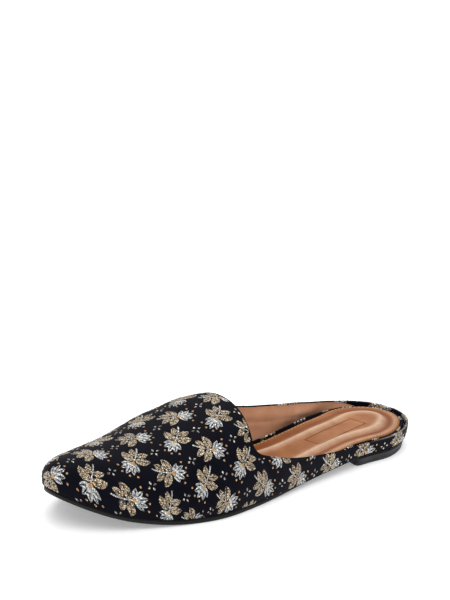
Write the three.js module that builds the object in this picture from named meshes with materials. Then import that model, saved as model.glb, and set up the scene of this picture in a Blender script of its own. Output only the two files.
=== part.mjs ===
// A flat backless slipper for the left foot: a rounded closed vamp whose low sides run back round the heel,
// a covered footbed with a padded leather sock, a thin sole with toe spring, and a low heel.
// Millimetres. +X runs to the toe, +Y to the outer (lateral) side and +Z up, with the floor at Z = 0.
import * as THREE from "three";

// Driving dimensions of the last and the sole
const SHOE_LENGTH = 262; // sole, back of the heel to the toe tip
const BALL_WIDTH = 86; // sole across the ball
const HEEL_ROUND = 40; // length over which the outline rounds off at the heel
const TOE_ROUND = 34; // and at the toe
const INSTEP_HEIGHT = 46; // ridge of the vamp above the sole at the instep
const TOE_SPRING = 19; // rise of the sole at the toe tip
const SPRING_CURVE = 2.2; // how late the sole turns up ahead of the tread
const FEATHER_RADIUS = 4; // height over which the last rounds in to the edge of the sole, beyond its flare

// Layers
const HEEL_LIFT = 5.4;
const HEEL_LENGTH = 59; // back of the heel to the breast
const HEEL_TAPER = 2.2; // how far the heel draws in from the sole to the floor
const HEEL_INSET = 0.9; // heel's top edge, in from the edge of the last
const BREAST_HOLLOW = 4; // forward curve of the heel's breast at its corners
const SOLE_AT_HEEL = 1.5; // outsole, thinned over the heel
const SOLE_AT_BALL = 2.8;
const WALL = 2.0; // upper with its lining
const FOOTBED_AT_HEEL = 5.2; // with the heel's cushion
const FOOTBED_AT_BALL = 2.4;
const FOOTBED_RIM = 2.0; // covered rim that shows round the sock
const SOCK_THICKNESS = 1.3;
const PAD_RISE = 1.3; // raised pad in the middle of the sock
const PAD_BORDER = 8; // flat border between the sock's edge and the pad
const PAD_SLOPE = 4;
const GAP = 0.3; // clearance between neighbouring pieces

// Topline
const QUARTER_HEIGHT = 32; // outer wall at the corner of the throat
const THROAT_CORNER = 151; // station of the throat's corners
const TONGUE_REACH = 8; // how far the vamp's round edge reaches back past them
const CORNER_FILLET = 7;

// Where the ribs of the upper turn from straight across to a fan
const BALL_STATION = 176;
const SEAT_STATION = 32;

// Stations along the sole
const SEAT_END = 60; // end of the flat seat over the heel
const WAIST = 100; // where the thin rear of the sole starts to thicken
const TREAD_START = 150; // flat stretch under the ball
const TREAD_END = 188;
const DROP_START = 1.3; // how softly the sole leaves the seat
const DROP_END = 2.2; // and how softly it lands on the tread

// Half widths of the sole, as shares of half the ball width, before the ends are rounded
const OUTLINE = [
  { along: 0.0, lateral: 0.67, medial: 0.7 },
  { along: 0.12, lateral: 0.72, medial: 0.61 },
  { along: 0.2, lateral: 0.708, medial: 0.5 },
  { along: 0.3, lateral: 0.75, medial: 0.43 },
  { along: 0.4, lateral: 0.81, medial: 0.44 },
  { along: 0.5, lateral: 0.9, medial: 0.64 },
  { along: 0.59, lateral: 0.97, medial: 0.9 },
  { along: 0.68, lateral: 0.985, medial: 1.005 },
  { along: 0.76, lateral: 0.88, medial: 0.96 },
  { along: 0.86, lateral: 0.68, medial: 0.78 },
  { along: 1.0, lateral: 0.4, medial: 0.57 },
];

// How far the last swells out over the edge of the sole, in millimetres; most over the arch
const FLARE = [
  { along: 0.0, lateral: 1.0, medial: 0.8 },
  { along: 0.14, lateral: 1.4, medial: 1.6 },
  { along: 0.25, lateral: 1.2, medial: 4.0 },
  { along: 0.36, lateral: 1.2, medial: 7.0 },
  { along: 0.46, lateral: 1.6, medial: 7.0 },
  { along: 0.58, lateral: 2.4, medial: 5.0 },
  { along: 0.7, lateral: 3.0, medial: 3.0 },
  { along: 1.0, lateral: 2.2, medial: 2.2 },
];

// Sole's edge outside the upper's bottom edge, in millimetres: cut in close under the waist
const SOLE_MARGIN = [
  { along: 0.0, margin: -0.5 },
  { along: 0.25, margin: -0.9 },
  { along: 0.4, margin: -1.7 },
  { along: 0.55, margin: -0.7 },
  { along: 0.66, margin: 0.4 },
  { along: 1.0, margin: -0.8 },
];

// Ridge of the last above the sole as a share of the instep height, and how boxy the section is there
const RIDGE = [
  { along: 0.0, rise: 1.1, boxy: 2.5 },
  { along: 0.3, rise: 1.1, boxy: 2.4 },
  { along: 0.5, rise: 1.05, boxy: 2.1 },
  { along: 0.6, rise: 1.02, boxy: 2.15 },
  { along: 0.7, rise: 0.89, boxy: 2.1 },
  { along: 0.85, rise: 0.75, boxy: 2.2 },
  { along: 1.0, rise: 0.71, boxy: 2.35 },
];

// Sideways place of the ridge, as a share of half the ball width
const SPINE = [
  { along: 0.0, side: 0.0 },
  { along: 0.3, side: 0.04 },
  { along: 0.55, side: -0.05 },
  { along: 0.7, side: -0.05 },
];

// Height of the low walls behind the throat, as a share of the quarter height
const TOPLINE = [
  { along: 0.0, lateral: 0.21, medial: 0.21 },
  { along: 0.1, lateral: 0.21, medial: 0.3 },
  { along: 0.2, lateral: 0.21, medial: 0.47 },
  { along: 0.28, lateral: 0.26, medial: 0.62 },
  { along: 0.36, lateral: 0.38, medial: 0.79 },
  { along: 0.46, lateral: 0.56, medial: 0.97 },
  { along: 0.54, lateral: 0.77, medial: 1.0 },
  { along: 0.59, lateral: 0.95, medial: 1.08 },
];

// Mesh fineness
const QUARTER_COLUMNS = 26;
const THROAT_COLUMNS = 26;
const WALL_ROWS = 14;
const ROW_CROWDING = 1.7; // rows lie closer together near the sole
const RIB_SAMPLES = 48;
const OUTLINE_STATIONS = 44;
const HEEL_STATIONS = 16;
const BREAST_STEPS = 10;

// Rounded edges of the layers
const TREAD_EDGE = 0.9;
const SOLE_TOP_EDGE = 0.4;
const BED_EDGE = 0.8;
const SOCK_EDGE = 0.6;
const LIP_RISE = 0.7; // rounded top of the upper's wall

const half = BALL_WIDTH / 2;
const smooth = (t) => t * t * (3 - 2 * t);
const clamp01 = (t) => Math.min(1, Math.max(0, t));
const mix = (a, b, t) => a + (b - a) * t;

// A smooth curve through one column of a table, read at a station in millimetres.
function column(table, name) {
  const xs = table.map((row) => row.along * SHOE_LENGTH);
  const ys = table.map((row) => row[name]);
  const last = xs.length - 1;
  const slope = xs.map((_, i) => {
    const a = Math.max(0, i - 1);
    const b = Math.min(last, i + 1);
    return (ys[b] - ys[a]) / (xs[b] - xs[a]);
  });
  return (x) => {
    if (x <= xs[0]) return ys[0];
    if (x >= xs[last]) return ys[last];
    let i = 0;
    while (xs[i + 1] < x) i += 1;
    const h = xs[i + 1] - xs[i];
    const t = (x - xs[i]) / h;
    const t2 = t * t;
    const t3 = t2 * t;
    return (
      ys[i] * (2 * t3 - 3 * t2 + 1) +
      slope[i] * h * (t3 - 2 * t2 + t) +
      ys[i + 1] * (3 * t2 - 2 * t3) +
      slope[i + 1] * h * (t3 - t2)
    );
  };
}

const SIDES = { lateral: 1, medial: -1 };
const widthShare = { lateral: column(OUTLINE, "lateral"), medial: column(OUTLINE, "medial") };
const flare = { lateral: column(FLARE, "lateral"), medial: column(FLARE, "medial") };
const wallShare = { lateral: column(TOPLINE, "lateral"), medial: column(TOPLINE, "medial") };
const soleMargin = column(SOLE_MARGIN, "margin");
const ridgeShare = column(RIDGE, "rise");
const boxiness = column(RIDGE, "boxy");
const spineShare = column(SPINE, "side");

function endRounding(x) {
  const heel = clamp01(1 - x / HEEL_ROUND);
  const toe = clamp01(1 - (SHOE_LENGTH - x) / TOE_ROUND);
  return Math.sqrt(Math.max(0, 1 - heel * heel)) * Math.sqrt(Math.max(0, 1 - toe * toe));
}
const halfWidth = (side, x) => half * widthShare[side](x) * endRounding(x);
const spineY = (x) => half * spineShare(x);
const wallHeight = (side, x) => QUARTER_HEIGHT * wallShare[side](x);

// Underside of the outsole: flat seat, slope through the waist, flat tread, toe spring.
function soleRise(x) {
  const drop = clamp01((x - SEAT_END) / (TREAD_START - SEAT_END));
  if (x <= TREAD_START) return HEEL_LIFT * (1 - drop ** DROP_START) ** DROP_END;
  const toe = clamp01((x - TREAD_END) / (SHOE_LENGTH - TREAD_END));
  return TOE_SPRING * toe ** SPRING_CURVE;
}
const passage = (x, from, to) => smooth(clamp01((x - from) / (to - from)));
const soleThickness = (x) => mix(SOLE_AT_HEEL, SOLE_AT_BALL, passage(x, WAIST, TREAD_START));
const footbedThickness = (x) => mix(FOOTBED_AT_HEEL, FOOTBED_AT_BALL, passage(x, SEAT_END, TREAD_START));
const soleTop = (x) => soleRise(x) + soleThickness(x);
const featherZ = (x) => soleTop(x) + GAP;

// A rib of the upper: the curve over the last from the edge of the sole at station x up to the ridge.
// Ribs run straight across between the seat and the ball, and fan out round the heel and the toe.
function makeRib(side, x) {
  const anchorX = Math.min(BALL_STATION, Math.max(SEAT_STATION, x));
  const anchor = new THREE.Vector2(anchorX, spineY(anchorX));
  const foot = new THREE.Vector2(x, SIDES[side] * halfWidth(side, x));
  const reach = foot.distanceTo(anchor);
  const way = foot.clone().sub(anchor).divideScalar(reach);
  const swell = flare[side](x);
  const points = [];
  for (let i = 0; i <= RIB_SAMPLES; i += 1) {
    const angle = (i / RIB_SAMPLES) * (Math.PI / 2); // 0 at the edge of the sole
    const boxAt = boxiness(anchor.x + way.x * reach * Math.cos(angle));
    const level = i === RIB_SAMPLES ? 0 : Math.cos(angle) ** (2 / boxAt);
    const ridge = INSTEP_HEIGHT * ridgeShare(anchor.x + way.x * reach * level);
    const rise = ridge * Math.sin(angle) ** (2 / boxAt);
    const drawnIn = swell * level * Math.exp(-rise / (FEATHER_RADIUS + swell));
    const out = (reach + swell) * level - drawnIn;
    const px = anchor.x + way.x * out;
    points.push(new THREE.Vector3(px, anchor.y + way.y * out, featherZ(px) + rise));
  }
  const lengths = runningLength(points);
  return { x, way, points, lengths, total: lengths[RIB_SAMPLES] };
}

// The point of a rib at a distance up from the edge of the sole.
function alongRib(rib, distance) {
  const d = Math.min(rib.total, Math.max(0, distance));
  let i = 1;
  while (i < rib.lengths.length - 1 && rib.lengths[i] < d) i += 1;
  const t = (d - rib.lengths[i - 1]) / (rib.lengths[i] - rib.lengths[i - 1]);
  return rib.points[i - 1].clone().lerp(rib.points[i], t);
}

// The upper laid flat: across = distance from the ridge, along = station, and a fan ahead of the ball.
function flatFoot(rib) {
  if (rib.x <= BALL_STATION) return new THREE.Vector2(rib.x, rib.total);
  return new THREE.Vector2(BALL_STATION + rib.total * rib.way.x, rib.total * Math.abs(rib.way.y));
}

// Outline station whose fan rib points the given way from the ball.
function fanStation(side, angle) {
  let low = BALL_STATION;
  let high = SHOE_LENGTH;
  const offset = SIDES[side] * spineY(BALL_STATION);
  for (let i = 0; i < 40; i += 1) {
    const x = (low + high) / 2;
    if (Math.atan2(halfWidth(side, x) - offset, x - BALL_STATION) > angle) low = x;
    else high = x;
  }
  return (low + high) / 2;
}

// From the flat upper back to the last.
function fromFlat(side, flat) {
  if (flat.x <= BALL_STATION) {
    const rib = makeRib(side, flat.x);
    return alongRib(rib, rib.total - flat.y);
  }
  const ahead = flat.x - BALL_STATION;
  const rib = makeRib(side, fanStation(side, Math.atan2(flat.y, ahead)));
  return alongRib(rib, rib.total - Math.hypot(ahead, flat.y));
}

// Half of the throat's edge, laid flat: a fillet at the corner, then the vamp's round back edge to its tip.
function throatEdge(side) {
  const start = THROAT_CORNER - CORNER_FILLET;
  const flatTop = (x) => new THREE.Vector2(x, makeRib(side, x).total - wallHeight(side, x));
  const corner = flatTop(THROAT_CORNER);
  const backEdge = (y) => new THREE.Vector2(THROAT_CORNER - TONGUE_REACH * (1 - (y / corner.y) ** 2), y);
  const join = backEdge(corner.y - CORNER_FILLET);
  const steps = 40;
  const path = [];
  for (let i = 0; i <= steps; i += 1) {
    const t = i / steps;
    const a = flatTop(start).lerp(corner, t);
    path.push(a.lerp(corner.clone().lerp(join, t), t));
  }
  for (let i = 1; i <= steps; i += 1) path.push(backEdge(join.y * (1 - i / steps)));
  return evenly(path, THROAT_COLUMNS);
}

// Distance from the start of a polyline to each of its points.
function runningLength(path) {
  const run = [0];
  for (let i = 1; i < path.length; i += 1) {
    run.push(run[i - 1] + path[i].distanceTo(path[i - 1]));
  }
  return run;
}

// Points at even distances along a polyline.
function evenly(path, count) {
  const run = runningLength(path);
  const total = run[run.length - 1];
  const out = [];
  let k = 1;
  for (let i = 0; i <= count; i += 1) {
    const d = (total * i) / count;
    while (k < path.length - 1 && run[k] < d) k += 1;
    out.push(path[k - 1].clone().lerp(path[k], (d - run[k - 1]) / (run[k] - run[k - 1])));
  }
  return out;
}

// Stations at even distances round one side of the sole's edge.
function evenStations(side, from, to, count) {
  const fine = [];
  const steps = 600;
  for (let i = 0; i <= steps; i += 1) {
    const t = (1 - Math.cos((Math.PI * i) / steps)) / 2;
    const x = mix(from, to, t);
    fine.push(new THREE.Vector2(x, halfWidth(side, x)));
  }
  return evenly(fine, count).map((p) => p.x);
}

// One side of the upper as columns of points, each from the sole's edge to the topline.
function upperColumns(side) {
  const start = THROAT_CORNER - CORNER_FILLET;
  const columns = evenStations(side, 0, start, QUARTER_COLUMNS).map((x) => {
    const rib = makeRib(side, x);
    return rows((v) => alongRib(rib, v * wallHeight(side, x)));
  });
  const feet = evenStations(side, start, SHOE_LENGTH, THROAT_COLUMNS).map((x) => flatFoot(makeRib(side, x)));
  const edge = throatEdge(side);
  for (let i = 1; i <= THROAT_COLUMNS; i += 1) {
    columns.push(rows((v) => fromFlat(side, feet[i].clone().lerp(edge[i], v))));
  }
  return columns;
}
function rows(at) {
  return Array.from({ length: WALL_ROWS + 1 }, (_, j) => at((j / WALL_ROWS) ** ROW_CROWDING));
}

// A closed mesh from a list of equal closed loops of points; the last loop joins the first.
function torusOf(loops) {
  const count = loops[0].length;
  const index = [];
  loops.forEach((_, i) => {
    const next = (i + 1) % loops.length;
    for (let j = 0; j < count; j += 1) {
      const k = (j + 1) % count;
      const [a, b, c, d] = [i * count + j, i * count + k, next * count + k, next * count + j];
      index.push(a, b, c, a, c, d);
    }
  });
  return geometryOf(loops.flat(), index);
}

function geometryOf(points, index) {
  const geometry = new THREE.BufferGeometry();
  const numbers = points.flatMap((p) => [p.x, p.y, p.z]);
  geometry.setAttribute("position", new THREE.Float32BufferAttribute(numbers, 3));
  geometry.setIndex(index);
  geometry.computeVertexNormals();
  return geometry;
}

// The hollow upper: outer skin, rounded topline, inner skin a wall's thickness in, open below.
function upperGeometry() {
  const lateral = upperColumns("lateral");
  const medial = upperColumns("medial");
  const columns = [...lateral, ...medial.slice(1, -1).reverse()];
  const n = columns.length;
  const inner = columns.map((points, i) => {
    const before = columns[(i + n - 1) % n];
    const after = columns[(i + 1) % n];
    return points.map((p, j) => {
      const up = points[Math.min(WALL_ROWS, j + 1)].clone().sub(points[Math.max(0, j - 1)]);
      const round = after[j].clone().sub(before[j]);
      const inward = round.cross(up).normalize();
      inward.z *= clamp01((p.z - points[0].z) / (3 * WALL)); // level at the sole, so the edge stays flat
      return p.clone().addScaledVector(inward.normalize(), WALL);
    });
  });
  const loops = columns.map((outerPoints, i) => {
    const top = outerPoints[WALL_ROWS];
    const lip = top.clone().add(inner[i][WALL_ROWS]).multiplyScalar(0.5);
    const way = top.clone().sub(outerPoints[WALL_ROWS - 1]).normalize();
    lip.addScaledVector(way, LIP_RISE);
    return [...outerPoints, lip, ...inner[i].slice().reverse()];
  });
  return torusOf(loops);
}

// Closed loop of points round the sole: heel, lateral side, toe, medial side, moved in by an inset and out by
// a margin that may change along the shoe.
function outlineRing(inset, zAt, margin = () => 0) {
  const lateral = evenStations("lateral", 0, SHOE_LENGTH, OUTLINE_STATIONS);
  const medial = evenStations("medial", 0, SHOE_LENGTH, OUTLINE_STATIONS);
  const base = [
    ...lateral.map((x) => new THREE.Vector2(x, halfWidth("lateral", x))),
    ...medial.slice(1, -1).reverse().map((x) => new THREE.Vector2(x, -halfWidth("medial", x))),
  ];
  const n = base.length;
  return base.map((p, i) => {
    const run = base[(i + 1) % n].clone().sub(base[(i + n - 1) % n]).normalize();
    const shift = inset - margin(p.x);
    const q = new THREE.Vector3(p.x + run.y * shift, p.y - run.x * shift, 0);
    q.z = zAt(q.x);
    return q;
  });
}

// A solid from rings stacked from the bottom to the top, closed by a ladder of faces across each end.
function slabOf(rings) {
  const n = rings[0].length;
  const points = rings.flat();
  const index = [];
  for (let r = 0; r + 1 < rings.length; r += 1) {
    for (let j = 0; j < n; j += 1) {
      const k = (j + 1) % n;
      const [a, b, c, d] = [r * n + j, r * n + k, (r + 1) * n + k, (r + 1) * n + j];
      index.push(a, c, b, a, d, c);
    }
  }
  const top = (rings.length - 1) * n;
  for (let j = 0; j < n / 2; j += 1) {
    const [a, b, c, d] = [j, j + 1, (n - j - 1) % n, (n - j) % n];
    const corners = [a, b, c, d].filter((v, i, all) => all.indexOf(v) === i);
    for (let i = 1; i + 1 < corners.length; i += 1) {
      index.push(corners[0], corners[i], corners[i + 1]);
      index.push(top + corners[0], top + corners[i + 1], top + corners[i]);
    }
  }
  return geometryOf(points, index);
}

function outsoleGeometry() {
  return slabOf([
    outlineRing(TREAD_EDGE, soleRise, soleMargin),
    outlineRing(0, (x) => soleRise(x) + TREAD_EDGE, soleMargin),
    outlineRing(0, (x) => soleTop(x) - SOLE_TOP_EDGE, soleMargin),
    outlineRing(SOLE_TOP_EDGE, soleTop, soleMargin),
  ]);
}

// The heel's loop at a height: round the back, then across the hollow breast.
function heelRing(inset, z, length) {
  const stations = (side) => evenStations(side, 0, length, HEEL_STATIONS).slice(0, -1);
  const edge = [
    ...stations("medial").slice(1).reverse().map((x) => new THREE.Vector2(x, -halfWidth("medial", x))),
    ...stations("lateral").map((x) => new THREE.Vector2(x, halfWidth("lateral", x))),
  ];
  const ring = edge.map((p, i) => {
    const run = edge[Math.min(edge.length - 1, i + 1)].clone().sub(edge[Math.max(0, i - 1)]).normalize();
    return new THREE.Vector3(p.x + run.y * inset, p.y - run.x * inset, z);
  });
  const from = halfWidth("lateral", length) - inset;
  const to = inset - halfWidth("medial", length);
  for (let i = 0; i <= BREAST_STEPS; i += 1) {
    const t = i / BREAST_STEPS;
    const bow = BREAST_HOLLOW * (2 * t - 1) ** 2;
    ring.push(new THREE.Vector3(length - BREAST_HOLLOW + bow, mix(from, to, t), z));
  }
  return ring;
}

// The heel: three loops, with a fan of faces from the middle across the bottom and the top.
function heelGeometry() {
  const levels = [
    heelRing(HEEL_TAPER + TREAD_EDGE, 0, HEEL_LENGTH - TREAD_EDGE),
    heelRing(HEEL_TAPER, TREAD_EDGE, HEEL_LENGTH),
    heelRing(HEEL_INSET, HEEL_LIFT - GAP, HEEL_LENGTH),
  ];
  const n = levels[0].length;
  const middleAt = (z) => new THREE.Vector3(HEEL_LENGTH / 2, 0, z);
  const points = [...levels.flat(), middleAt(0), middleAt(HEEL_LIFT - GAP)];
  const bottomMiddle = levels.length * n;
  const topStart = (levels.length - 1) * n;
  const index = [];
  for (let j = 0; j < n; j += 1) {
    const k = (j + 1) % n;
    for (let base = 0; base < topStart; base += n) {
      index.push(base + j, base + n + k, base + k, base + j, base + n + j, base + n + k);
    }
    index.push(j, k, bottomMiddle);
    index.push(topStart + k, topStart + j, bottomMiddle + 1);
  }
  return geometryOf(points, index);
}

const FOOTBED_INSET = WALL + GAP;
const footbedTop = (x) => featherZ(x) + footbedThickness(x);
function footbedGeometry() {
  return slabOf([
    outlineRing(FOOTBED_INSET + BED_EDGE, featherZ),
    outlineRing(FOOTBED_INSET, (x) => featherZ(x) + BED_EDGE),
    outlineRing(FOOTBED_INSET, (x) => footbedTop(x) - BED_EDGE),
    outlineRing(FOOTBED_INSET + BED_EDGE, footbedTop),
  ]);
}

const SOCK_INSET = FOOTBED_INSET + FOOTBED_RIM;
function sockGeometry() {
  const base = (x) => footbedTop(x) + GAP;
  const top = (x) => base(x) + SOCK_THICKNESS;
  return slabOf([
    outlineRing(SOCK_INSET, base),
    outlineRing(SOCK_INSET, (x) => top(x) - SOCK_EDGE),
    outlineRing(SOCK_INSET + SOCK_EDGE, top),
    outlineRing(SOCK_INSET + PAD_BORDER, top),
    outlineRing(SOCK_INSET + PAD_BORDER + PAD_SLOPE, (x) => top(x) + PAD_RISE),
  ]);
}

function material(colour, roughness) {
  return new THREE.MeshStandardMaterial({ color: colour, roughness, metalness: 0 });
}
const brocade = material("#14131c", 0.75);
const tanLeather = material("#a9683f", 0.45);
const blackLeather = material("#1b1b1d", 0.35);

function piece(name, geometry, surface) {
  const mesh = new THREE.Mesh(geometry, surface);
  mesh.name = name;
  return mesh;
}

const shoe = new THREE.Group();
shoe.add(
  piece("heel", heelGeometry(), blackLeather),
  piece("outsole", outsoleGeometry(), blackLeather),
  piece("footbed", footbedGeometry(), brocade),
  piece("insole_sock", sockGeometry(), tanLeather),
  piece("upper", upperGeometry(), brocade),
);

// The origin lies on the floor under the middle of the shoe's bounding box.
const bounds = new THREE.Box3().setFromObject(shoe, true);
const middle = bounds.getCenter(new THREE.Vector3());
shoe.position.set(-middle.x, -middle.y, 0);

export default shoe;
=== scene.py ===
"""Backless brocade slipper, left foot: the visual model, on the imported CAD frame.

The last is worked out in millimetres, as in the CAD source: x from the back of the heel to the toe,
y to the outer (lateral) side, z up from the floor. Meshes are written in the frame's metres.
"""
import math
import bpy
import numpy as np
from mathutils import Matrix, Vector


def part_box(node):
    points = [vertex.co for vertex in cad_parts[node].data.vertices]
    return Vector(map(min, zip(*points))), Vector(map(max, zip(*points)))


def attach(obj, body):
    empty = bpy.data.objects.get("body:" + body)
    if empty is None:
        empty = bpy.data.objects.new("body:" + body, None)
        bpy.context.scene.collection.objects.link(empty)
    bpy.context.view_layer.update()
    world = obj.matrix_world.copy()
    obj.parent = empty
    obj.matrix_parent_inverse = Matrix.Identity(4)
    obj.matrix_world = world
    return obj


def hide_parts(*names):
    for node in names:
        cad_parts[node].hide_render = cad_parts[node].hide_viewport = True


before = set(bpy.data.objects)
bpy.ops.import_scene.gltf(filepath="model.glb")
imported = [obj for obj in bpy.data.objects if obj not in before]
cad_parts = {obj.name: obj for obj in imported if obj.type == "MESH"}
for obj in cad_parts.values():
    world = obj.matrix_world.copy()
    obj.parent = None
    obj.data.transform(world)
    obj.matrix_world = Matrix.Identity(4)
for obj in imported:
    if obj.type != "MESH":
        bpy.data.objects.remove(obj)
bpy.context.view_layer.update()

# The last and the sole
SHOE_LENGTH = 262.0
BALL_WIDTH = 86.0
HEEL_ROUND = 40.0
TOE_ROUND = 34.0
INSTEP_HEIGHT = 46.0
TOE_SPRING = 19.0
SPRING_CURVE = 2.2
FEATHER_RADIUS = 4.0
HEEL_LIFT = 5.4
HEEL_LENGTH = 59.0
HEEL_TAPER = 2.2
HEEL_INSET = 0.9
BREAST_HOLLOW = 4.0
SOLE_AT_HEEL = 1.5
SOLE_AT_BALL = 2.8
WALL = 2.0
FOOTBED_AT_HEEL = 5.2
FOOTBED_AT_BALL = 2.4
FOOTBED_RIM = 2.0
SOCK_THICKNESS = 1.3
GAP = 0.3
QUARTER_HEIGHT = 32.0
THROAT_CORNER = 151.0
TONGUE_REACH = 8.0
CORNER_FILLET = 7.0
THROAT_START = THROAT_CORNER - CORNER_FILLET
BALL_STATION = 176.0
SEAT_STATION = 32.0
SEAT_END = 60.0
WAIST = 100.0
TREAD_START = 150.0
TREAD_END = 188.0
DROP_START = 1.3
DROP_END = 2.2

OUTLINE = {
    "along": [0.0, 0.12, 0.2, 0.3, 0.4, 0.5, 0.59, 0.68, 0.76, 0.86, 1.0],
    "lateral": [0.67, 0.72, 0.708, 0.75, 0.81, 0.9, 0.97, 0.985, 0.88, 0.68, 0.4],
    "medial": [0.7, 0.61, 0.5, 0.43, 0.44, 0.64, 0.9, 1.005, 0.96, 0.78, 0.57],
}
FLARE = {
    "along": [0.0, 0.14, 0.25, 0.36, 0.46, 0.58, 0.7, 1.0],
    "lateral": [1.0, 1.4, 1.2, 1.2, 1.6, 2.4, 3.0, 2.2],
    "medial": [0.8, 1.6, 4.0, 7.0, 7.0, 5.0, 3.0, 2.2],
}
SOLE_MARGIN = {
    "along": [0.0, 0.25, 0.4, 0.55, 0.66, 1.0],
    "margin": [-0.5, -0.9, -1.7, -0.7, 0.4, -0.8],
}
RIDGE = {
    "along": [0.0, 0.3, 0.5, 0.6, 0.7, 0.85, 1.0],
    "rise": [1.1, 1.1, 1.05, 1.02, 0.89, 0.75, 0.71],
    "boxy": [2.5, 2.4, 2.1, 2.15, 2.1, 2.2, 2.35],
}
SPINE = {
    "along": [0.0, 0.3, 0.55, 0.7],
    "side": [0.0, 0.04, -0.05, -0.05],
}
TOPLINE = {
    "along": [0.0, 0.1, 0.2, 0.28, 0.36, 0.46, 0.54, 0.59],
    "lateral": [0.21, 0.21, 0.21, 0.26, 0.38, 0.56, 0.77, 0.95],
    "medial": [0.21, 0.3, 0.47, 0.62, 0.79, 0.97, 1.0, 1.08],
}

# Fineness of the meshes
QUARTER_COLUMNS = 120
THROAT_COLUMNS = 110
WALL_ROWS = 60
ROW_CROWDING = 1.35
RIB_STATIONS = 420
RIB_SAMPLES = 200
RIB_STEPS = 180
RING_STATIONS = 240
CURVE_SAMPLES = 80

SIDES = {"lateral": 1.0, "medial": -1.0}
TINY = 1e-9


# Curves of the last

def curve(table, name):
    """A smooth curve through one column of a table, read at a station in millimetres."""
    xs = np.array(table["along"]) * SHOE_LENGTH
    ys = np.array(table[name])
    last = len(xs) - 1
    before = np.maximum(np.arange(last + 1) - 1, 0)
    after = np.minimum(np.arange(last + 1) + 1, last)
    slope = (ys[after] - ys[before]) / (xs[after] - xs[before])

    def read(x):
        x = np.clip(np.asarray(x, float), xs[0], xs[-1])
        i = np.clip(np.searchsorted(xs, x, side="right") - 1, 0, last - 1)
        h = xs[i + 1] - xs[i]
        t = (x - xs[i]) / h
        rise = ys[i] * (2 * t**3 - 3 * t**2 + 1) + ys[i + 1] * (3 * t**2 - 2 * t**3)
        bend = slope[i] * h * (t**3 - 2 * t**2 + t) + slope[i + 1] * h * (t**3 - t**2)
        return rise + bend

    return read


WIDTH_SHARE = {side: curve(OUTLINE, side) for side in SIDES}
FLARE_AT = {side: curve(FLARE, side) for side in SIDES}
WALL_SHARE = {side: curve(TOPLINE, side) for side in SIDES}
sole_margin = curve(SOLE_MARGIN, "margin")
ridge_share = curve(RIDGE, "rise")
boxiness = curve(RIDGE, "boxy")
spine_share = curve(SPINE, "side")


def smooth(t):
    t = np.clip(t, 0.0, 1.0)
    return t * t * (3 - 2 * t)


def passage(x, start, end):
    """Eases from 0 to 1 between two stations."""
    return smooth((np.asarray(x, float) - start) / (end - start))


def bell(distance, width):
    return np.exp(-((distance / width) ** 2))


def unit(v):
    return v / np.linalg.norm(v, axis=-1, keepdims=True)


def half_width(side, x):
    heel = np.clip(1 - x / HEEL_ROUND, 0, 1)
    toe = np.clip(1 - (SHOE_LENGTH - x) / TOE_ROUND, 0, 1)
    rounding = np.sqrt(np.maximum(0, 1 - heel**2)) * np.sqrt(np.maximum(0, 1 - toe**2))
    return BALL_WIDTH / 2 * WIDTH_SHARE[side](x) * rounding


def edge_of(side, x):
    """The sole's edge in plan."""
    return np.stack([x, SIDES[side] * half_width(side, x)], axis=-1)


def middle_of(x):
    """Where ribs and rings lead to: the spine, between the seat and the ball."""
    x = np.clip(x, SEAT_STATION, BALL_STATION)
    return np.stack([x, BALL_WIDTH / 2 * spine_share(x)], axis=-1)


def wall_height(side, x):
    return QUARTER_HEIGHT * WALL_SHARE[side](x)


def sole_rise(x):
    x = np.asarray(x, float)
    drop = np.clip((x - SEAT_END) / (TREAD_START - SEAT_END), 0, 1)
    toe = np.clip((x - TREAD_END) / (SHOE_LENGTH - TREAD_END), 0, 1)
    return HEEL_LIFT * (1 - drop**DROP_START) ** DROP_END + TOE_SPRING * toe**SPRING_CURVE


def sole_top(x):
    return sole_rise(x) + SOLE_AT_HEEL + (SOLE_AT_BALL - SOLE_AT_HEEL) * passage(x, WAIST, TREAD_START)


def feather_z(x):
    return sole_top(x) + GAP


def footbed_top(x):
    thinner = (FOOTBED_AT_BALL - FOOTBED_AT_HEEL) * passage(x, SEAT_END, TREAD_START)
    return feather_z(x) + FOOTBED_AT_HEEL + thinner


def sock_base(x):
    return footbed_top(x) + GAP


# Where the last stands in the frame, from the outsole's box
SOLE_LOW, SOLE_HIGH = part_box("outsole")
FINE_X = np.linspace(0, SHOE_LENGTH, 4001)
OFFSET_X = -float(sole_margin(0.0)) - SOLE_LOW[0] * 1000
OFFSET_Y = float((half_width("lateral", FINE_X) + sole_margin(FINE_X)).max()) - SOLE_HIGH[1] * 1000


def to_frame(points):
    """Points of the last in millimetres to the frame's metres."""
    return (np.asarray(points, float) - np.array([OFFSET_X, OFFSET_Y, 0.0])) / 1000


def running_length(path):
    """Distance along a path, or along each of many, at each of its points."""
    steps = np.linalg.norm(np.diff(path, axis=-2), axis=-1)
    return np.concatenate([np.zeros_like(steps[..., :1]), np.cumsum(steps, axis=-1)], axis=-1)


def read_rows(at, run, table):
    """Rows of a table at places along it."""
    return np.stack([np.interp(at, run, column) for column in table.T], axis=-1)


def evenly(path, count):
    """Points at even distances along a polyline."""
    run = running_length(path)
    return read_rows(np.linspace(0, run[-1], count + 1), run, path)


def even_stations(side, start, end, count):
    """Stations at even distances round one side of the sole's edge."""
    t = (1 - np.cos(np.linspace(0, np.pi, 1200))) / 2
    return evenly(edge_of(side, start + (end - start) * t), count)[:, 0]


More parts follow.
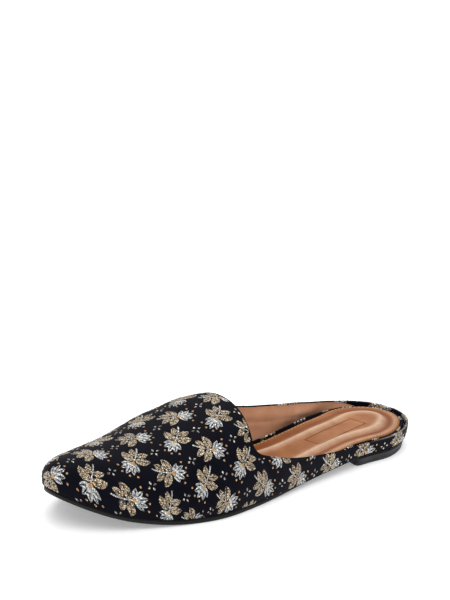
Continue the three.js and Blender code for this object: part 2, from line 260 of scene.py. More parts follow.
class UpperSide:
    """One side of the last's surface, as ribs from the sole's edge to the ridge."""

    def __init__(self, side):
        self.side = side
        self.sign = SIDES[side]
        x = even_stations(side, 0, SHOE_LENGTH, RIB_STATIONS)
        self.x = x
        anchor = middle_of(x)
        reach = np.linalg.norm(edge_of(side, x) - anchor, axis=1)[:, None]
        way = (edge_of(side, x) - anchor) / reach
        angle = np.linspace(0, np.pi / 2, RIB_SAMPLES + 1)[None, :]
        box_at = boxiness(anchor[:, :1] + way[:, :1] * reach * np.cos(angle))
        level = np.clip(np.cos(angle), 0, 1) ** (2 / box_at)
        level[:, -1] = 0
        ridge = INSTEP_HEIGHT * ridge_share(anchor[:, :1] + way[:, :1] * reach * level)
        rise = ridge * np.sin(angle) ** (2 / box_at)
        swell = FLARE_AT[side](x)[:, None]
        drawn_in = swell * level * np.exp(-rise / (FEATHER_RADIUS + swell))
        plan = anchor[:, None] + way[:, None] * ((reach + swell) * level - drawn_in)[..., None]
        ribs = np.concatenate([plan, (feather_z(plan[..., 0]) + rise)[..., None]], axis=2)
        run = running_length(ribs)
        self.total = run[:, -1]
        share = np.linspace(0, 1, RIB_STEPS + 1)
        self.grid = np.stack([read_rows(share * r[-1], r, rib) for r, rib in zip(run, ribs)])
        self.normal = self.rib_normals()
        # The flat cloth fans out ahead of the ball: each rib's way in it, and the ribs by their angle
        self.way = way * np.array([1.0, self.sign])
        angles = np.arctan2(self.way[:, 1], self.way[:, 0])
        self.toe_angle = angles[-1]
        fan = np.searchsorted(x, BALL_STATION)
        order = fan + np.argsort(angles[fan:])
        self.fan = angles[order], x[order]
        # Distance back along the cloth: stations as they are, but along the outline round the heel
        self.heel_x = SEAT_STATION * np.linspace(0, 1, 400) ** 2
        heel_run = running_length(edge_of(side, self.heel_x))
        self.heel_u = SEAT_STATION - (heel_run[-1] - heel_run)
        self.corner = np.array([THROAT_CORNER, float(self.wall_top(THROAT_CORNER))])

    def rib_normals(self):
        n = np.cross(np.gradient(self.grid, axis=1), np.gradient(self.grid, axis=0)) * self.sign
        size = np.linalg.norm(n, axis=2, keepdims=True)
        n = np.where(size > TINY, n / np.maximum(size, TINY), np.array([0.0, 0.0, 1.0]))
        n[:, -2:] = n[:, -3:-2]
        return n

    def read(self, table, x, share):
        """A table of the grid, between its ribs and steps."""
        i = np.interp(x, self.x, np.arange(len(self.x)))
        j = np.clip(share, 0, 1) * RIB_STEPS
        i0 = np.clip(np.floor(i).astype(int), 0, len(self.x) - 2)
        j0 = np.clip(np.floor(j).astype(int), 0, RIB_STEPS - 1)
        fi = (i - i0)[..., None]
        fj = (j - j0)[..., None]
        low = table[i0, j0] * (1 - fj) + table[i0, j0 + 1] * fj
        high = table[i0 + 1, j0] * (1 - fj) + table[i0 + 1, j0 + 1] * fj
        return low * (1 - fi) + high * fi

    def total_at(self, x):
        return np.interp(x, self.x, self.total)

    def wall_top(self, x):
        """Distance of the wall's top from the ridge."""
        return self.total_at(x) - wall_height(self.side, x)

    def point(self, x, distance):
        """Surface point and normal at a station and a distance up from the sole's edge."""
        share = distance / self.total_at(x)
        return self.read(self.grid, x, share), unit(self.read(self.normal, x, share))

    def cloth_u(self, x):
        return np.where(x < SEAT_STATION, np.interp(x, self.heel_x, self.heel_u), x)

    def station(self, u):
        return np.where(u < SEAT_STATION, np.interp(u, self.heel_u, self.heel_x), u)

    def flat_foot(self, x):
        """The sole's edge on the cloth laid flat: (back along the shoe, out from the ridge)."""
        total = self.total_at(x)
        fan = np.array([BALL_STATION, 0.0]) + total[:, None] * unit(read_rows(x, self.x, self.way))
        straight = np.stack([self.cloth_u(x), total], axis=-1)
        return np.where((x > BALL_STATION)[:, None], fan, straight)

    def unfold(self, u, v):
        """Station and distance from the sole's edge for a place on the flat cloth (v from the ridge)."""
        ahead = u > BALL_STATION
        angle = np.arctan2(v, np.maximum(u - BALL_STATION, TINY))
        x = np.where(ahead, np.interp(angle, *self.fan), self.station(u))
        return x, self.total_at(x) - np.where(ahead, np.hypot(u - BALL_STATION, v), v)

    def back_edge(self, v):
        return THROAT_CORNER - TONGUE_REACH * (1 - (v / self.corner[1]) ** 2)

    def throat_edge(self, count):
        """Half of the throat's edge laid flat: a fillet at the corner, then the vamp's back edge."""
        first = np.array([THROAT_START, float(self.wall_top(THROAT_START))])
        join_v = self.corner[1] - CORNER_FILLET
        join = np.array([self.back_edge(join_v), join_v])
        t = np.linspace(0, 1, CURVE_SAMPLES)[:, None]
        fillet = first * (1 - t) ** 2 + 2 * self.corner * t * (1 - t) + join * t**2
        v = np.linspace(join_v, 0, CURVE_SAMPLES)[1:]
        return evenly(np.concatenate([fillet, np.stack([self.back_edge(v), v], axis=1)]), count)


SURFACE = {side: UpperSide(side) for side in SIDES}


# Mesh building

COLLECTION = bpy.context.scene.collection


def make_object(name, points, faces, material, flat=None, shade_smooth=True):
    """A mesh object from points of the last in millimetres; flat is its cloth map, a (u, v) each."""
    mesh = bpy.data.meshes.new(name)
    mesh.from_pydata(to_frame(points).tolist(), [], [list(map(int, f)) for f in faces])
    mesh.update()
    if flat is not None:
        layer = mesh.uv_layers.new(name="cloth")
        corner = np.empty(len(mesh.loops), dtype=np.int32)
        mesh.loops.foreach_get("vertex_index", corner)
        layer.data.foreach_set("uv", np.asarray(flat, dtype=np.float32)[corner].ravel())
    if shade_smooth:
        mesh.polygons.foreach_set("use_smooth", np.ones(len(mesh.polygons), dtype=bool))
    mesh.materials.append(material)
    obj = bpy.data.objects.new(name, mesh)
    COLLECTION.objects.link(obj)
    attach(obj, "root")
    return obj


def add_shade(obj, name, values):
    """A number for each point, which a material reads by name."""
    layer = obj.data.attributes.new(name, "FLOAT", "POINT")
    layer.data.foreach_set("value", np.asarray(values, dtype=np.float32))


def grid_faces(columns, rows, round_columns=False, round_rows=False):
    """Faces of a grid of points, listed by column and row, closed round where asked."""
    i = np.arange(columns if round_columns else columns - 1)[:, None]
    j = np.arange(rows if round_rows else rows - 1)[None, :]
    i2 = (i + 1) % columns
    j2 = (j + 1) % rows
    quads = [i * rows + j, i * rows + j2, i2 * rows + j2, i2 * rows + j]
    return np.stack(np.broadcast_arrays(*quads), axis=-1).reshape(-1, 4)


def make_tube(name, rows, material, flats):
    """A closed wall from rows that each go round the shoe, the last of them joined to the first."""
    points = np.stack(rows, axis=1)
    faces = grid_faces(*points.shape[:2], round_columns=True, round_rows=True)[:, ::-1]
    flat = np.stack(flats, axis=1).reshape(-1, 2)
    return make_object(name, points.reshape(-1, 3), faces, material, flat), points


# Creases, placed on the flat cloth: where each starts and ends, how wide and how deep

CREASES = [
    # soft flex folds across the vamp, behind the ball
    ((166, -34), (172, 30), 5.5, -0.35),
    ((178, -30), (181, 40), 5.0, 0.28),
    ((190, 12), (186, 46), 4.0, -0.25),
    # drawn cloth from the throat's outer corner to the sole
    ((150, 36), (140, 62), 4.5, -0.35),
    ((137, 42), (128, 66), 4.0, 0.3),
    ((120, 46), (112, 62), 4.0, -0.3),
    ((104, 50), (96, 62), 3.5, 0.2),
    ((88, 50), (80, 60), 3.5, -0.2),
    # and from the inner corner
    ((150, -34), (138, -60), 5.0, -0.35),
    ((132, -36), (120, -58), 4.5, 0.3),
    ((112, -36), (100, -54), 4.5, -0.35),
    # slight hollows beside the toe
    ((214, 30), (240, 18), 6.0, -0.3),
    ((212, -34), (236, -24), 6.0, -0.25),
]
LINING_CREASES = [
    # soft waves of the inner side's leather, and two finer wrinkles in it
    ((134, -34), (122, -62), 7.0, 0.45),
    ((112, -30), (104, -58), 6.0, -0.4),
    ((94, -34), (88, -58), 5.5, 0.4),
    ((76, -42), (74, -58), 5.0, -0.3),
    ((104, -45), (84, -51), 1.3, -0.28),
    ((72, -53), (58, -56), 1.2, -0.2),
    # one wave of the outer side's
    ((126, 36), (118, 58), 6.0, 0.3),
]
CREASE_END = 6.0
SOLE_FADE = 0.12  # where a crease dies out, as a share of the way up
TOP_FADE = 0.06


def crease_depth(flat, creases):
    """How far the creases move the cloth, outwards, at places (u, v signed) of the flat cloth."""
    total = np.zeros(flat.shape[:-1])
    for start, end, width, depth in creases:
        length = math.dist(start, end)
        way = np.subtract(end, start) / length
        from_start = flat - np.array(start, float)
        along = from_start @ way
        across = from_start @ np.array([-way[1], way[0]])
        past = np.maximum(0, np.maximum(-along, along - length))
        total += depth * bell(across, width) * bell(past, CREASE_END)
    return total


def edge_fade(rows):
    """Keeps the sole's edge and the topline in place."""
    t = np.linspace(0, 1, rows)
    return (smooth(t / SOLE_FADE) * smooth((1 - t) / TOP_FADE))[None, :, None]


def skin_normals(points):
    """Outward normals of a grid whose columns close round the shoe."""
    along = np.roll(points, -1, axis=0) - np.roll(points, 1, axis=0)
    n = np.cross(np.gradient(points, axis=1), along)
    return n / np.maximum(np.linalg.norm(n, axis=2, keepdims=True), TINY)


def upper_grid():
    """Outer skin of the upper: points, normals, flat places; columns round the shoe, rows upwards."""
    v = np.linspace(0, 1, WALL_ROWS + 1) ** ROW_CROWDING
    parts = []
    for side, surface in SURFACE.items():
        x = even_stations(side, 0, THROAT_START, QUARTER_COLUMNS)
        distance = v[None, :] * wall_height(side, x)[:, None]
        x = np.broadcast_to(x[:, None], distance.shape)
        wall_points, wall_normals = surface.point(x, distance)
        wall_flat = np.stack([surface.cloth_u(x), surface.total_at(x) - distance], axis=-1)
        feet = surface.flat_foot(even_stations(side, THROAT_START, SHOE_LENGTH, THROAT_COLUMNS))
        edge = surface.throat_edge(THROAT_COLUMNS)
        vamp_flat = feet[1:, None, :] * (1 - v[None, :, None]) + edge[1:, None, :] * v[None, :, None]
        vamp_points, vamp_normals = surface.point(*surface.unfold(vamp_flat[..., 0], vamp_flat[..., 1]))
        flat = np.concatenate([wall_flat, vamp_flat]) * [1.0, surface.sign]
        points = np.concatenate([wall_points, vamp_points])
        parts.append([points, np.concatenate([wall_normals, vamp_normals]), flat])
    points, normals, flat = [np.concatenate([outer, inner[1:-1][::-1]]) for outer, inner in zip(*parts)]
    points = points + normals * crease_depth(flat, CREASES)[..., None] * edge_fade(points.shape[1])
    return points, skin_normals(points), flat


def level_near_sole(normals, points):
    """Normals turned level near the sole, so that a wall's foot stays flat."""
    rise = points[..., 2] - points[:, :1, 2]
    n = normals.copy()
    n[..., 2] *= np.clip(rise / (3 * WALL), 0, 1)
    return unit(n)


OUTER, OUTER_NORMAL, OUTER_FLAT = upper_grid()
INWARD = -level_near_sole(OUTER_NORMAL, OUTER)
ROWS = np.arange(OUTER.shape[1])
TOP_ROW = len(ROWS) - 1
TOP = OUTER[:, -1]
TOP_FLAT = OUTER_FLAT[:, -1]
TOP_UP = unit(TOP - OUTER[:, -3])
TOP_FLAT_UP = unit(TOP_FLAT - OUTER_FLAT[:, -3])
OUTER_DEPTH = running_length(OUTER[:, ::-1])  # down from the top, at each point from the top

LIP_AT_HEEL = 1.0  # half thickness of the rolled topline
LIP_AHEAD = 0.5
LIP_TAPER = 7.0
FOLD_AT_HEEL = 2.6  # turned edge of the cloth inside the topline
FOLD_AHEAD = 0.2
FOLD_STATIONS = {"lateral": (34.0, 58.0), "medial": (6.0, 26.0)}  # where the fold narrows
EDGE_ANGLE = 1.3  # where a painted highlight lies along the roll's folded edge, in radians up from its outer side
EDGE_SPREAD = 0.5
ROLL_STEPS = 8
FOLD_SHARES = (0.35, 0.7, 1.0)
BACK_ROWS = 14
FOLD_END = 0.25  # the figure stops short of the fold's end
BACK_DROP = 0.1  # the cloth's hidden back starts below the fold
CLOTH_SHARE = 0.45  # cloth with its interlining, as a share of the wall
LINING_BACK_SHARE = 0.58
LINING_FACE_SHARE = 0.93

FOLD_PASSAGE = {side: passage(TOP_FLAT[:, 0], *stations) for side, stations in FOLD_STATIONS.items()}
AHEAD = np.where(TOP_FLAT[:, 1] > 0, FOLD_PASSAGE["lateral"], FOLD_PASSAGE["medial"])
LIP_RADIUS = LIP_AT_HEEL + (LIP_AHEAD - LIP_AT_HEEL) * AHEAD
FOLD_DEPTH = FOLD_AT_HEEL + (FOLD_AHEAD - FOLD_AT_HEEL) * AHEAD


def row_below_top(depth):
    """Each column's row, counted from the sole, at a distance down from its top."""
    depths = np.broadcast_to(depth, (len(OUTER),))
    return TOP_ROW - np.array([np.interp(d, run, ROWS) for d, run in zip(depths, OUTER_DEPTH)])


def wall_at(depth):
    """Thickness of the wall at a depth below its top, one value for each column."""
    return 2 * LIP_RADIUS + (WALL - 2 * LIP_RADIUS) * smooth(depth / LIP_TAPER)


def wall_at_row(row):
    """Thickness of the wall at a row of each column."""
    depth = [np.interp(r, ROWS, run) for r, run in zip(TOP_ROW - row, OUTER_DEPTH)]
    return wall_at(np.array(depth))


def at_rows(table, rows):
    """A grid's values at one fractional row for each column."""
    r0 = np.clip(np.floor(rows).astype(int), 0, table.shape[1] - 2)
    f = (rows - r0)[:, None]
    i = np.arange(len(table))
    return table[i, r0] * (1 - f) + table[i, r0 + 1] * f


def within_wall(row, inwards):
    """Points at a row of each column, a distance in from the outer skin."""
    return at_rows(OUTER, row) + at_rows(INWARD, row) * inwards[:, None]


def build_brocade(material):
    """The cloth: outer skin, rolled topline, turned edge inside, and its hidden back."""
    radius = LIP_RADIUS[:, None]
    rows = list(np.moveaxis(OUTER, 1, 0))
    flats = list(np.moveaxis(OUTER_FLAT, 1, 0))
    roll = np.linspace(0, np.pi, ROLL_STEPS + 1)[1:]
    for angle in roll:
        rows.append(TOP + radius * (INWARD[:, -1] * (1 - np.cos(angle)) + TOP_UP * np.sin(angle)))
        flats.append(TOP_FLAT + TOP_FLAT_UP * radius * angle)
    for share in FOLD_SHARES:
        depth = FOLD_DEPTH * share
        rows.append(within_wall(row_below_top(depth), wall_at(depth)))
        flats.append(TOP_FLAT + TOP_FLAT_UP * (radius * np.pi + depth[:, None]))
    for row in np.linspace(1, 0, BACK_ROWS)[:, None] * row_below_top(FOLD_DEPTH + BACK_DROP):
        rows.append(within_wall(row, wall_at_row(row) * CLOTH_SHARE))
        flats.append(at_rows(OUTER_FLAT, row))
    cloth, points = make_tube("upper_brocade", rows, material, flats)
    # The edge shade marks a painted highlight along the rolled topline, strongest at the heel
    edge = np.zeros(points.shape[:2])
    rolled = slice(TOP_ROW + 1, TOP_ROW + 1 + len(roll))
    edge[:, rolled] = (1 - AHEAD[:, None]) * bell(roll - EDGE_ANGLE, EDGE_SPREAD)
    add_shade(cloth, "edge", edge.ravel())
    return cloth


LINING_ROWS = 46
LINING_FADE = 0.15
LINING_OVERLAP = 0.35  # how far it reaches up behind the turned edge
SHADE_REACH = 4.5  # how far painted shade reaches up the lining over the footbed's rim, and between which stations
SHADE_STARTS = (20.0, 48.0)
SHADE_ENDS = (66.0, 92.0)
RIM_RISE = 1.35
RIM_RISE_AHEAD = 1.0
RIM_FAR = 0.9
RIM_HALF = 0.95


def build_lining(material):
    """The leather lining: its face inside the shoe, and its back within the wall."""
    top = row_below_top(np.maximum(FOLD_DEPTH - LINING_OVERLAP, 0.02))
    face = []
    back = []
    flats = []
    for share in np.linspace(1, 0, LINING_ROWS):
        row = top * share
        flat = at_rows(OUTER_FLAT, row)
        fade = smooth((1 - share) / LINING_FADE) * smooth(share / LINING_FADE)
        wave = crease_depth(flat, LINING_CREASES) * fade
        thick = wall_at_row(row)
        face.append(within_wall(row, thick * LINING_FACE_SHARE + wave))
        back.append(within_wall(row, thick * LINING_BACK_SHARE))
        flats.append(flat)
    lining_piece, points = make_tube("upper_lining", face + back[::-1], material, flats + flats[::-1])
    x = points[..., 0]
    above = points[..., 2] - footbed_top(x) - RIM_RISE - RIM_FAR
    low = smooth(1 - above / SHADE_REACH) * passage(x, *SHADE_STARTS) * (1 - passage(x, *SHADE_ENDS))
    # painted shade on the lining just above the footbed's rim, over part of the heel and waist
    add_shade(lining_piece, "painted_light", low.ravel())
    return lining_piece


# Woven figure: a plain leaf sprig, drawn in millimetres on the flat cloth

THREAD_RISE = 0.16
DOT_SIDES = 12
LINE_STEPS = 14


def left_of(way):
    return np.stack([-way[:, 1], way[:, 0]], axis=1)


def leaf(base, heading, length, width, bend=0.0, cells=(12, 3), gap=0.28):
    """A pointed leaf as two raised halves beside a bare midrib. heading in degrees."""
    s = np.linspace(0, 1, cells[0] + 1)
    t = np.linspace(0, 1, cells[1] + 1)
    turn = math.radians(heading) + bend * (s - 0.5)
    way = np.stack([np.cos(turn), np.sin(turn)], axis=1)
    steps = np.cumsum(way[:-1] * length / cells[0], axis=0)
    middle = np.array(base) + np.concatenate([[[0, 0]], steps])
    half = (width / 2 * np.sin(np.pi * s**0.85) ** 0.8)[:, None]
    reach = gap / 2 * np.minimum(1, half) + half * t
    height = THREAD_RISE * (1 - 0.9 * (2 * t - 1) ** 4) + np.zeros_like(reach)
    faces = grid_faces(cells[0] + 1, cells[1] + 1)
    shapes = []
    for sign in (1, -1):
        place = middle[:, None, :] + sign * left_of(way)[:, None, :] * reach[..., None]
        points = np.concatenate([place, height[..., None]], axis=2).reshape(-1, 3)
        shapes.append((points, faces if sign < 0 else faces[:, ::-1]))
    return shapes


def ribbon(path, width, taper=0.5):
    """A thin woven line along a path of (a, b) points."""
    t = np.linspace(0, 1, LINE_STEPS)
    place = read_rows(t * (len(path) - 1), np.arange(len(path)), np.array(path, float))
    for _ in range(2):
        place[1:-1] = (place[:-2] + 2 * place[1:-1] + place[2:]) / 4
    across = left_of(unit(np.gradient(place, axis=0))) * (width / 2 * (1 - taper * t))[:, None]
    sides = ((place - across, 0.0), (place, THREAD_RISE), (place + across, 0.0))
    points = np.stack([np.column_stack([p, np.full(len(t), h)]) for p, h in sides], axis=1)
    return [(points.reshape(-1, 3), grid_faces(len(t), 3)[:, ::-1])]


def dot(centre, radius):
    """A round raised seed."""
    turn = np.linspace(0, 2 * np.pi, DOT_SIDES, endpoint=False)
    points = []
    for reach, height in ((radius, 0.0), (radius * 0.7, THREAD_RISE)):
        points += [(centre[0] + reach * np.cos(a), centre[1] + reach * np.sin(a), height) for a in turn]
    points.append((*centre, THREAD_RISE * 1.3))
    faces = []
    for k in range(DOT_SIDES):
        m = (k + 1) % DOT_SIDES
        faces.append([k, m, DOT_SIDES + m, DOT_SIDES + k])
        faces.append([DOT_SIDES + k, DOT_SIDES + m, 2 * DOT_SIDES, 2 * DOT_SIDES])
    return [(np.array(points), np.array(faces))]


def diamond(centre, length, width):
    a, b = centre
    rim = [[a - length / 2, b, 0], [a, b - width / 2, 0], [a + length / 2, b, 0], [a, b + width / 2, 0]]
    faces = [[0, 1, 4, 4], [1, 2, 4, 4], [2, 3, 4, 4], [3, 0, 4, 4]]
    return [(np.array([*rim, [a, b, THREAD_RISE]], float), np.array(faces))]


def sprig():
    """The figure's pieces by thread: a fan-shaped flower on a stem with two pairs of leaves."""
    gold = leaf((-1.9, -0.2), 122, 8.8, 4.5, 0.8)
    gold += leaf((-1.5, -0.4), -112, 9.0, 4.6, -0.8)
    gold += leaf((-5.4, -1.0), 136, 6.6, 3.5, 0.6)
    gold += leaf((-5.0, -1.2), -132, 6.4, 3.4, -0.6)
    silver = ribbon([(-11.0, -3.6), (-8.4, -2.0), (-5.2, -1.0), (-1.8, -0.2), (1.2, 0.2)], 0.8, 0.1)
    for heading, length in ((-62, 6.2), (-31, 7.4), (0, 8.0), (31, 7.4), (62, 6.2)):
        silver += leaf((1.0, 0.2), heading, length, 2.45, 0.0, (10, 2), 0.6)
    copper = dot((0.8, 0.2), 1.3)
    for heading in (-46, -15, 15, 46):
        turn = math.radians(heading)
        copper += dot((1.0 + 8.4 * math.cos(turn), 0.2 + 8.4 * math.sin(turn)), 0.62)
    return {"gold": gold, "silver": silver, "copper": copper}


def filler():
    """Four small diamonds that lie between the sprigs."""
    gold = diamond((-2.1, 0), 2.2, 1.3) + diamond((2.1, 0), 2.2, 1.3)
    return {"gold": gold, "silver": diamond((0, -1.7), 1.3, 2.0) + diamond((0, 1.7), 1.3, 2.0)}


FIGURE_PITCH = 30.0
FIGURE_ROW = 15.5
FIGURE_TURN = 24.0
FIGURE_START = (-4.0, 3.0)
FLAT_REACH = 90.0


def figure_places():
    """All sprigs, then all fillers: pieces by thread, centre on the cloth, heading, mirror sign."""
    flower = sprig()
    between = filler()
    sprigs = []
    fillers = []
    for row in range(-7, 8):
        v = row * FIGURE_ROW + FIGURE_START[1]
        shift, heading, facing = 0.0, 180.0 - FIGURE_TURN, -1
        if row % 2:
            shift, heading, facing = FIGURE_PITCH / 2, FIGURE_TURN, 1
        for k in range(-2, 12):
            u = k * FIGURE_PITCH + shift + FIGURE_START[0]
            sprigs.append((flower, u, v, heading, facing))
            fillers.append((between, u + FIGURE_PITCH / 2, v, 0.0, 1))
    return sprigs + fillers


class Topline:
    """The rolled top of one side wall, behind the throat, by station."""

    def __init__(self, side):
        columns = np.arange(QUARTER_COLUMNS + 1) * int(SIDES[side]) % len(OUTER)
        self.station = even_stations(side, 0, THROAT_START, QUARTER_COLUMNS)
        self.tables = {
            "top": TOP[columns],
            "inward": INWARD[columns, -1],
            "up": TOP_UP[columns],
            "radius": LIP_RADIUS[columns, None],
            "fold": FOLD_DEPTH[columns, None],
        }

    def wrap(self, x, excess, height):
        """Lays places past the wall's top round the roll and down inside; says which pass the fold."""
        top, inward, up, radius, fold = [read_rows(x, self.station, t) for t in self.tables.values()]
        radius = radius[:, 0]
        angle = np.minimum(excess / radius, np.pi)
        inside = np.maximum(excess - np.pi * radius, 0)
        reach = radius + height
        level = (radius - reach * np.cos(angle))[:, None]
        rise = (reach * np.sin(angle) - inside)[:, None]
        return top + inward * level + up * rise, inside > np.maximum(fold[:, 0] - FOLD_END, 0)


TOPLINES = {side: Topline(side) for side in SIDES}
UPPER_MARGIN = 0.35  # how far inside the upper's edges the figure is kept
CLEARANCE = 0.02
STRETCH_LIMIT = 1.5  # a face whose sides grow by more than this share and slack was torn
STRETCH_SLACK = 0.25
SMALLEST_SIDE = 0.05


def clamp_to_upper(surface, u, v):
    """Brings places that miss the upper to its edge: station, distance, place and which moved."""
    margin = UPPER_MARGIN
    at_wall = v > surface.corner[1] - 0.5 * CORNER_FILLET
    low = surface.wall_top(np.clip(surface.unfold(u, v)[0], 0, THROAT_CORNER))
    over_wall = at_wall & (u < THROAT_CORNER) & (v < low + margin)
    edge_u = surface.back_edge(np.minimum(v, surface.corner[1]))
    over_throat = ~at_wall & (u < edge_u + margin)
    new_u = np.where(over_throat, edge_u + margin, u)
    new_v = np.where(over_wall, low + margin, v)
    x, distance = surface.unfold(new_u, new_v)
    moved = over_wall | over_throat | (distance < margin) | (u < surface.heel_u[0] + margin)
    return x, np.maximum(distance, margin), np.stack([new_u, new_v], axis=1), moved


def lay_on_upper(points):
    """Points (u, v signed, height) of the flat cloth to the last, with which of them had to be moved."""
    out = np.empty((len(points), 3))
    moved = np.zeros(len(points), bool)
    toe_lean = math.tan(SURFACE["lateral"].toe_angle)
    lateral = points[:, 1] >= np.maximum(points[:, 0] - BALL_STATION, 0) * toe_lean
    for side, surface in SURFACE.items():
        on = lateral if side == "lateral" else ~lateral
        u, v, height = (points[on] * [1.0, surface.sign, 1.0]).T
        x, distance, flat, shifted = clamp_to_upper(surface, u, v)
        skin, normal = surface.point(x, distance)
        fade = smooth(distance / np.maximum(surface.total_at(x) * SOLE_FADE, 1.0))
        lift = height + crease_depth(flat * [1.0, surface.sign], CREASES) * fade + CLEARANCE
        place = skin + normal * lift[:, None]
        station = surface.station(u)
        excess = surface.wall_top(station) - v
        over = (station > 0) & (station < THROAT_START) & (excess > 0)
        rolled, past = TOPLINES[side].wrap(station, np.maximum(excess, 0), height + CLEARANCE)
        place[over] = rolled[over]
        out[on] = place
        moved[on] = np.where(over, past, shifted)
    return out, moved


def build_figure(materials):
    """All sprigs and fillers on the upper, one object for each colour of thread."""
    shapes = {thread: [] for thread in materials}
    for threads, u, v, heading, facing in figure_places():
        cos = math.cos(math.radians(heading))
        sin = math.sin(math.radians(heading))
        for thread, pieces in threads.items():
            for local, faces in pieces:
                a, b, height = (local * [1.0, facing, 1.0]).T
                placed = np.stack([u + a * cos - b * sin, v + a * sin + b * cos, height], axis=1)
                shapes[thread].append((placed, faces if facing > 0 else faces[:, ::-1]))
    made = []
    for thread, pieces in shapes.items():
        flat = np.concatenate([p for p, _ in pieces])
        starts = np.cumsum([0] + [len(p) for p, _ in pieces[:-1]])
        faces = np.concatenate([f + s for (_, f), s in zip(pieces, starts)])
        solid, moved = lay_on_upper(flat)
        # Faces that missed the upper, or that were torn or crushed on the way, are left out
        keep = ~moved[faces].all(axis=1) & (np.abs(flat[faces, 1]) < FLAT_REACH).all(axis=1)
        following = np.roll(faces, -1, axis=1)
        drawn = np.linalg.norm(flat[faces, :2] - flat[following, :2], axis=2)
        laid = np.linalg.norm(solid[faces] - solid[following], axis=2)
        keep &= (laid < STRETCH_LIMIT * drawn + STRETCH_SLACK).all(axis=1)
        keep &= laid.max(axis=1) > SMALLEST_SIDE
        # Points at the same place become one
        corners = faces[keep].reshape(-1)
        rounded = np.round(solid[corners], 3)
        _, first, index = np.unique(rounded, axis=0, return_index=True, return_inverse=True)
        used = corners[first]
        polygons = [list(dict.fromkeys(f)) for f in index.reshape(-1, 4).tolist()]
        polygons = [f for f in polygons if len(f) > 2]
        name = f"brocade_{thread}"
        made.append(make_object(name, solid[used], polygons, materials[thread], flat[used, :2]))
    return made


# Flat layers: rings round the outline, each set in towards the middle of the shoe

def ring_columns():
    """Edge points, inward ways and points of the middle, closed round the shoe."""
    x = SHOE_LENGTH * (1 - np.cos(np.linspace(0, np.pi, RING_STATIONS + 1))) / 2
    edge = np.concatenate([edge_of("lateral", x), edge_of("medial", x)[1:-1][::-1]])
    run = unit(np.roll(edge, -1, axis=0) - np.roll(edge, 1, axis=0))
    return edge, -left_of(run), middle_of(edge[:, 0])


EDGE, EDGE_IN, ANCHOR = ring_columns()
STOP_SHORT = 0.985  # how far towards the middle the rings go


def inset_edge(inset):
    """The sole's edge set in by a distance, which may differ round the shoe."""
    return EDGE + EDGE_IN * np.broadcast_to(inset, (len(EDGE),))[:, None]


def ring(inset, surface, lift=0.0):
    """A loop set in from the sole's edge, at a height over a surface of the last."""
    p = inset_edge(inset)
    return np.column_stack([p, surface(p[:, 0]) + lift])


def towards_middle(first, count):
    """Plans of loops from a first one towards the middle line."""
    return [first[:, :2] * (1 - s) + ANCHOR * s for s in np.linspace(0, STOP_SHORT, count + 1)[1:]]


def inner_rings(first, count, surface):
    """Loops from a first one towards the middle line, on a surface of the last."""
    return [np.column_stack([p, surface(p[:, 0])]) for p in towards_middle(first, count)]


def side_faces(loops, n):
    """Faces round a stack of loops of n points each."""
    return np.roll(grid_faces(loops, n, round_rows=True)[:, ::-1], 1, axis=1).tolist()


def ladder(n, offset, flip):
    """Faces across a closed loop, from one side of the shoe to the other."""
    faces = []
    for j in range(n // 2):
        quad = dict.fromkeys([j, j + 1, (n - j - 1) % n, (n - j) % n])
        corners = [offset + c for c in quad]
        faces.append(corners[::-1] if flip else corners)
    return faces


def build_slab(name, loops, material):
    """A closed piece from loops: from the bottom's middle, round its edge, to the top's middle."""
    n = len(loops[0])
    faces = side_faces(len(loops), n) + ladder(n, 0, False) + ladder(n, (len(loops) - 1) * n, True)
    return make_object(name, np.concatenate(loops), faces, material)


# Inset from the sole's edge and height over its underside: the channel under the upper
SOLE_UNDER = [(3.2, 0.0), (3.4, 0.2), (3.7, 0.32), (4.0, 0.2), (4.2, 0.0), (6.0, 0.0)]
SOLE_SIDE = [
    # inset from the sole's edge, surface and height over it: tread edge, side, bevel
    (1.4, sole_rise, 0.0),
    (0.62, sole_rise, 0.08),
    (0.2, sole_rise, 0.36),
    (0.0, sole_rise, 0.8),
    (0.0, sole_top, -0.75),
    (0.12, sole_top, -0.5),
    (0.42, sole_top, -0.42),
    (0.5, sole_top, -0.3),
    (0.3, sole_top, -0.12),
    (0.4, sole_top, 0.0),
    (1.2, sole_top, 0.0),
]


def build_outsole(material):
    """Thin sole: rounded tread edge, a bevelled side and a fine channel under the upper."""
    margin = sole_margin(EDGE[:, 0])
    under = [ring(inset - margin, sole_rise, lift) for inset, lift in SOLE_UNDER]
    loops = (under + inner_rings(under[-1], 5, sole_rise))[::-1]
    loops += [ring(inset - margin, surface, lift) for inset, surface, lift in SOLE_SIDE]
    loops += inner_rings(loops[-1], 3, sole_top)
    return build_slab("outsole_leather", loops, material)


RIM_PASSAGES = {"near": (45.0, 85.0), "far": (26.0, 56.0), "far_end": (92.0, 124.0)}
RIM_ROUNDNESS = 2.6
COVER_SIDE = [
    # inset from the footbed's edge, surface and height over it, up to the rim
    (0.9, feather_z, 0.0),
    (0.25, feather_z, 0.25),
    (0.0, feather_z, 0.9),
    (0.0, footbed_top, -0.6),
]
COVER_RIM = (0.0, 0.04, 0.14, 0.3, 0.55, RIM_HALF, 1.35, 1.6, 1.76, 1.86, 1.9)
COVER_TOP = (1.9, 3.0, 4.0)


def rim_rise(x, y):
    """Rise of the covered rim over the board: it stands highest at the waist's inner side."""
    near = RIM_RISE_AHEAD * passage(x, *RIM_PASSAGES["near"])
    far = (RIM_RISE_AHEAD + RIM_FAR) * passage(x, *RIM_PASSAGES["far"])
    far = far - RIM_FAR * passage(x, *RIM_PASSAGES["far_end"])
    return RIM_RISE + np.where(y > 0, near, far)


def rim_bead(inset):
    """Height of the rim's rounded bead at a distance in from its outer side, as a share of its rise."""
    across = np.clip(np.abs(inset - RIM_HALF) / RIM_HALF, 0, 1)
    return 0.25 + 0.75 * (1 - across**RIM_ROUNDNESS) ** 0.5


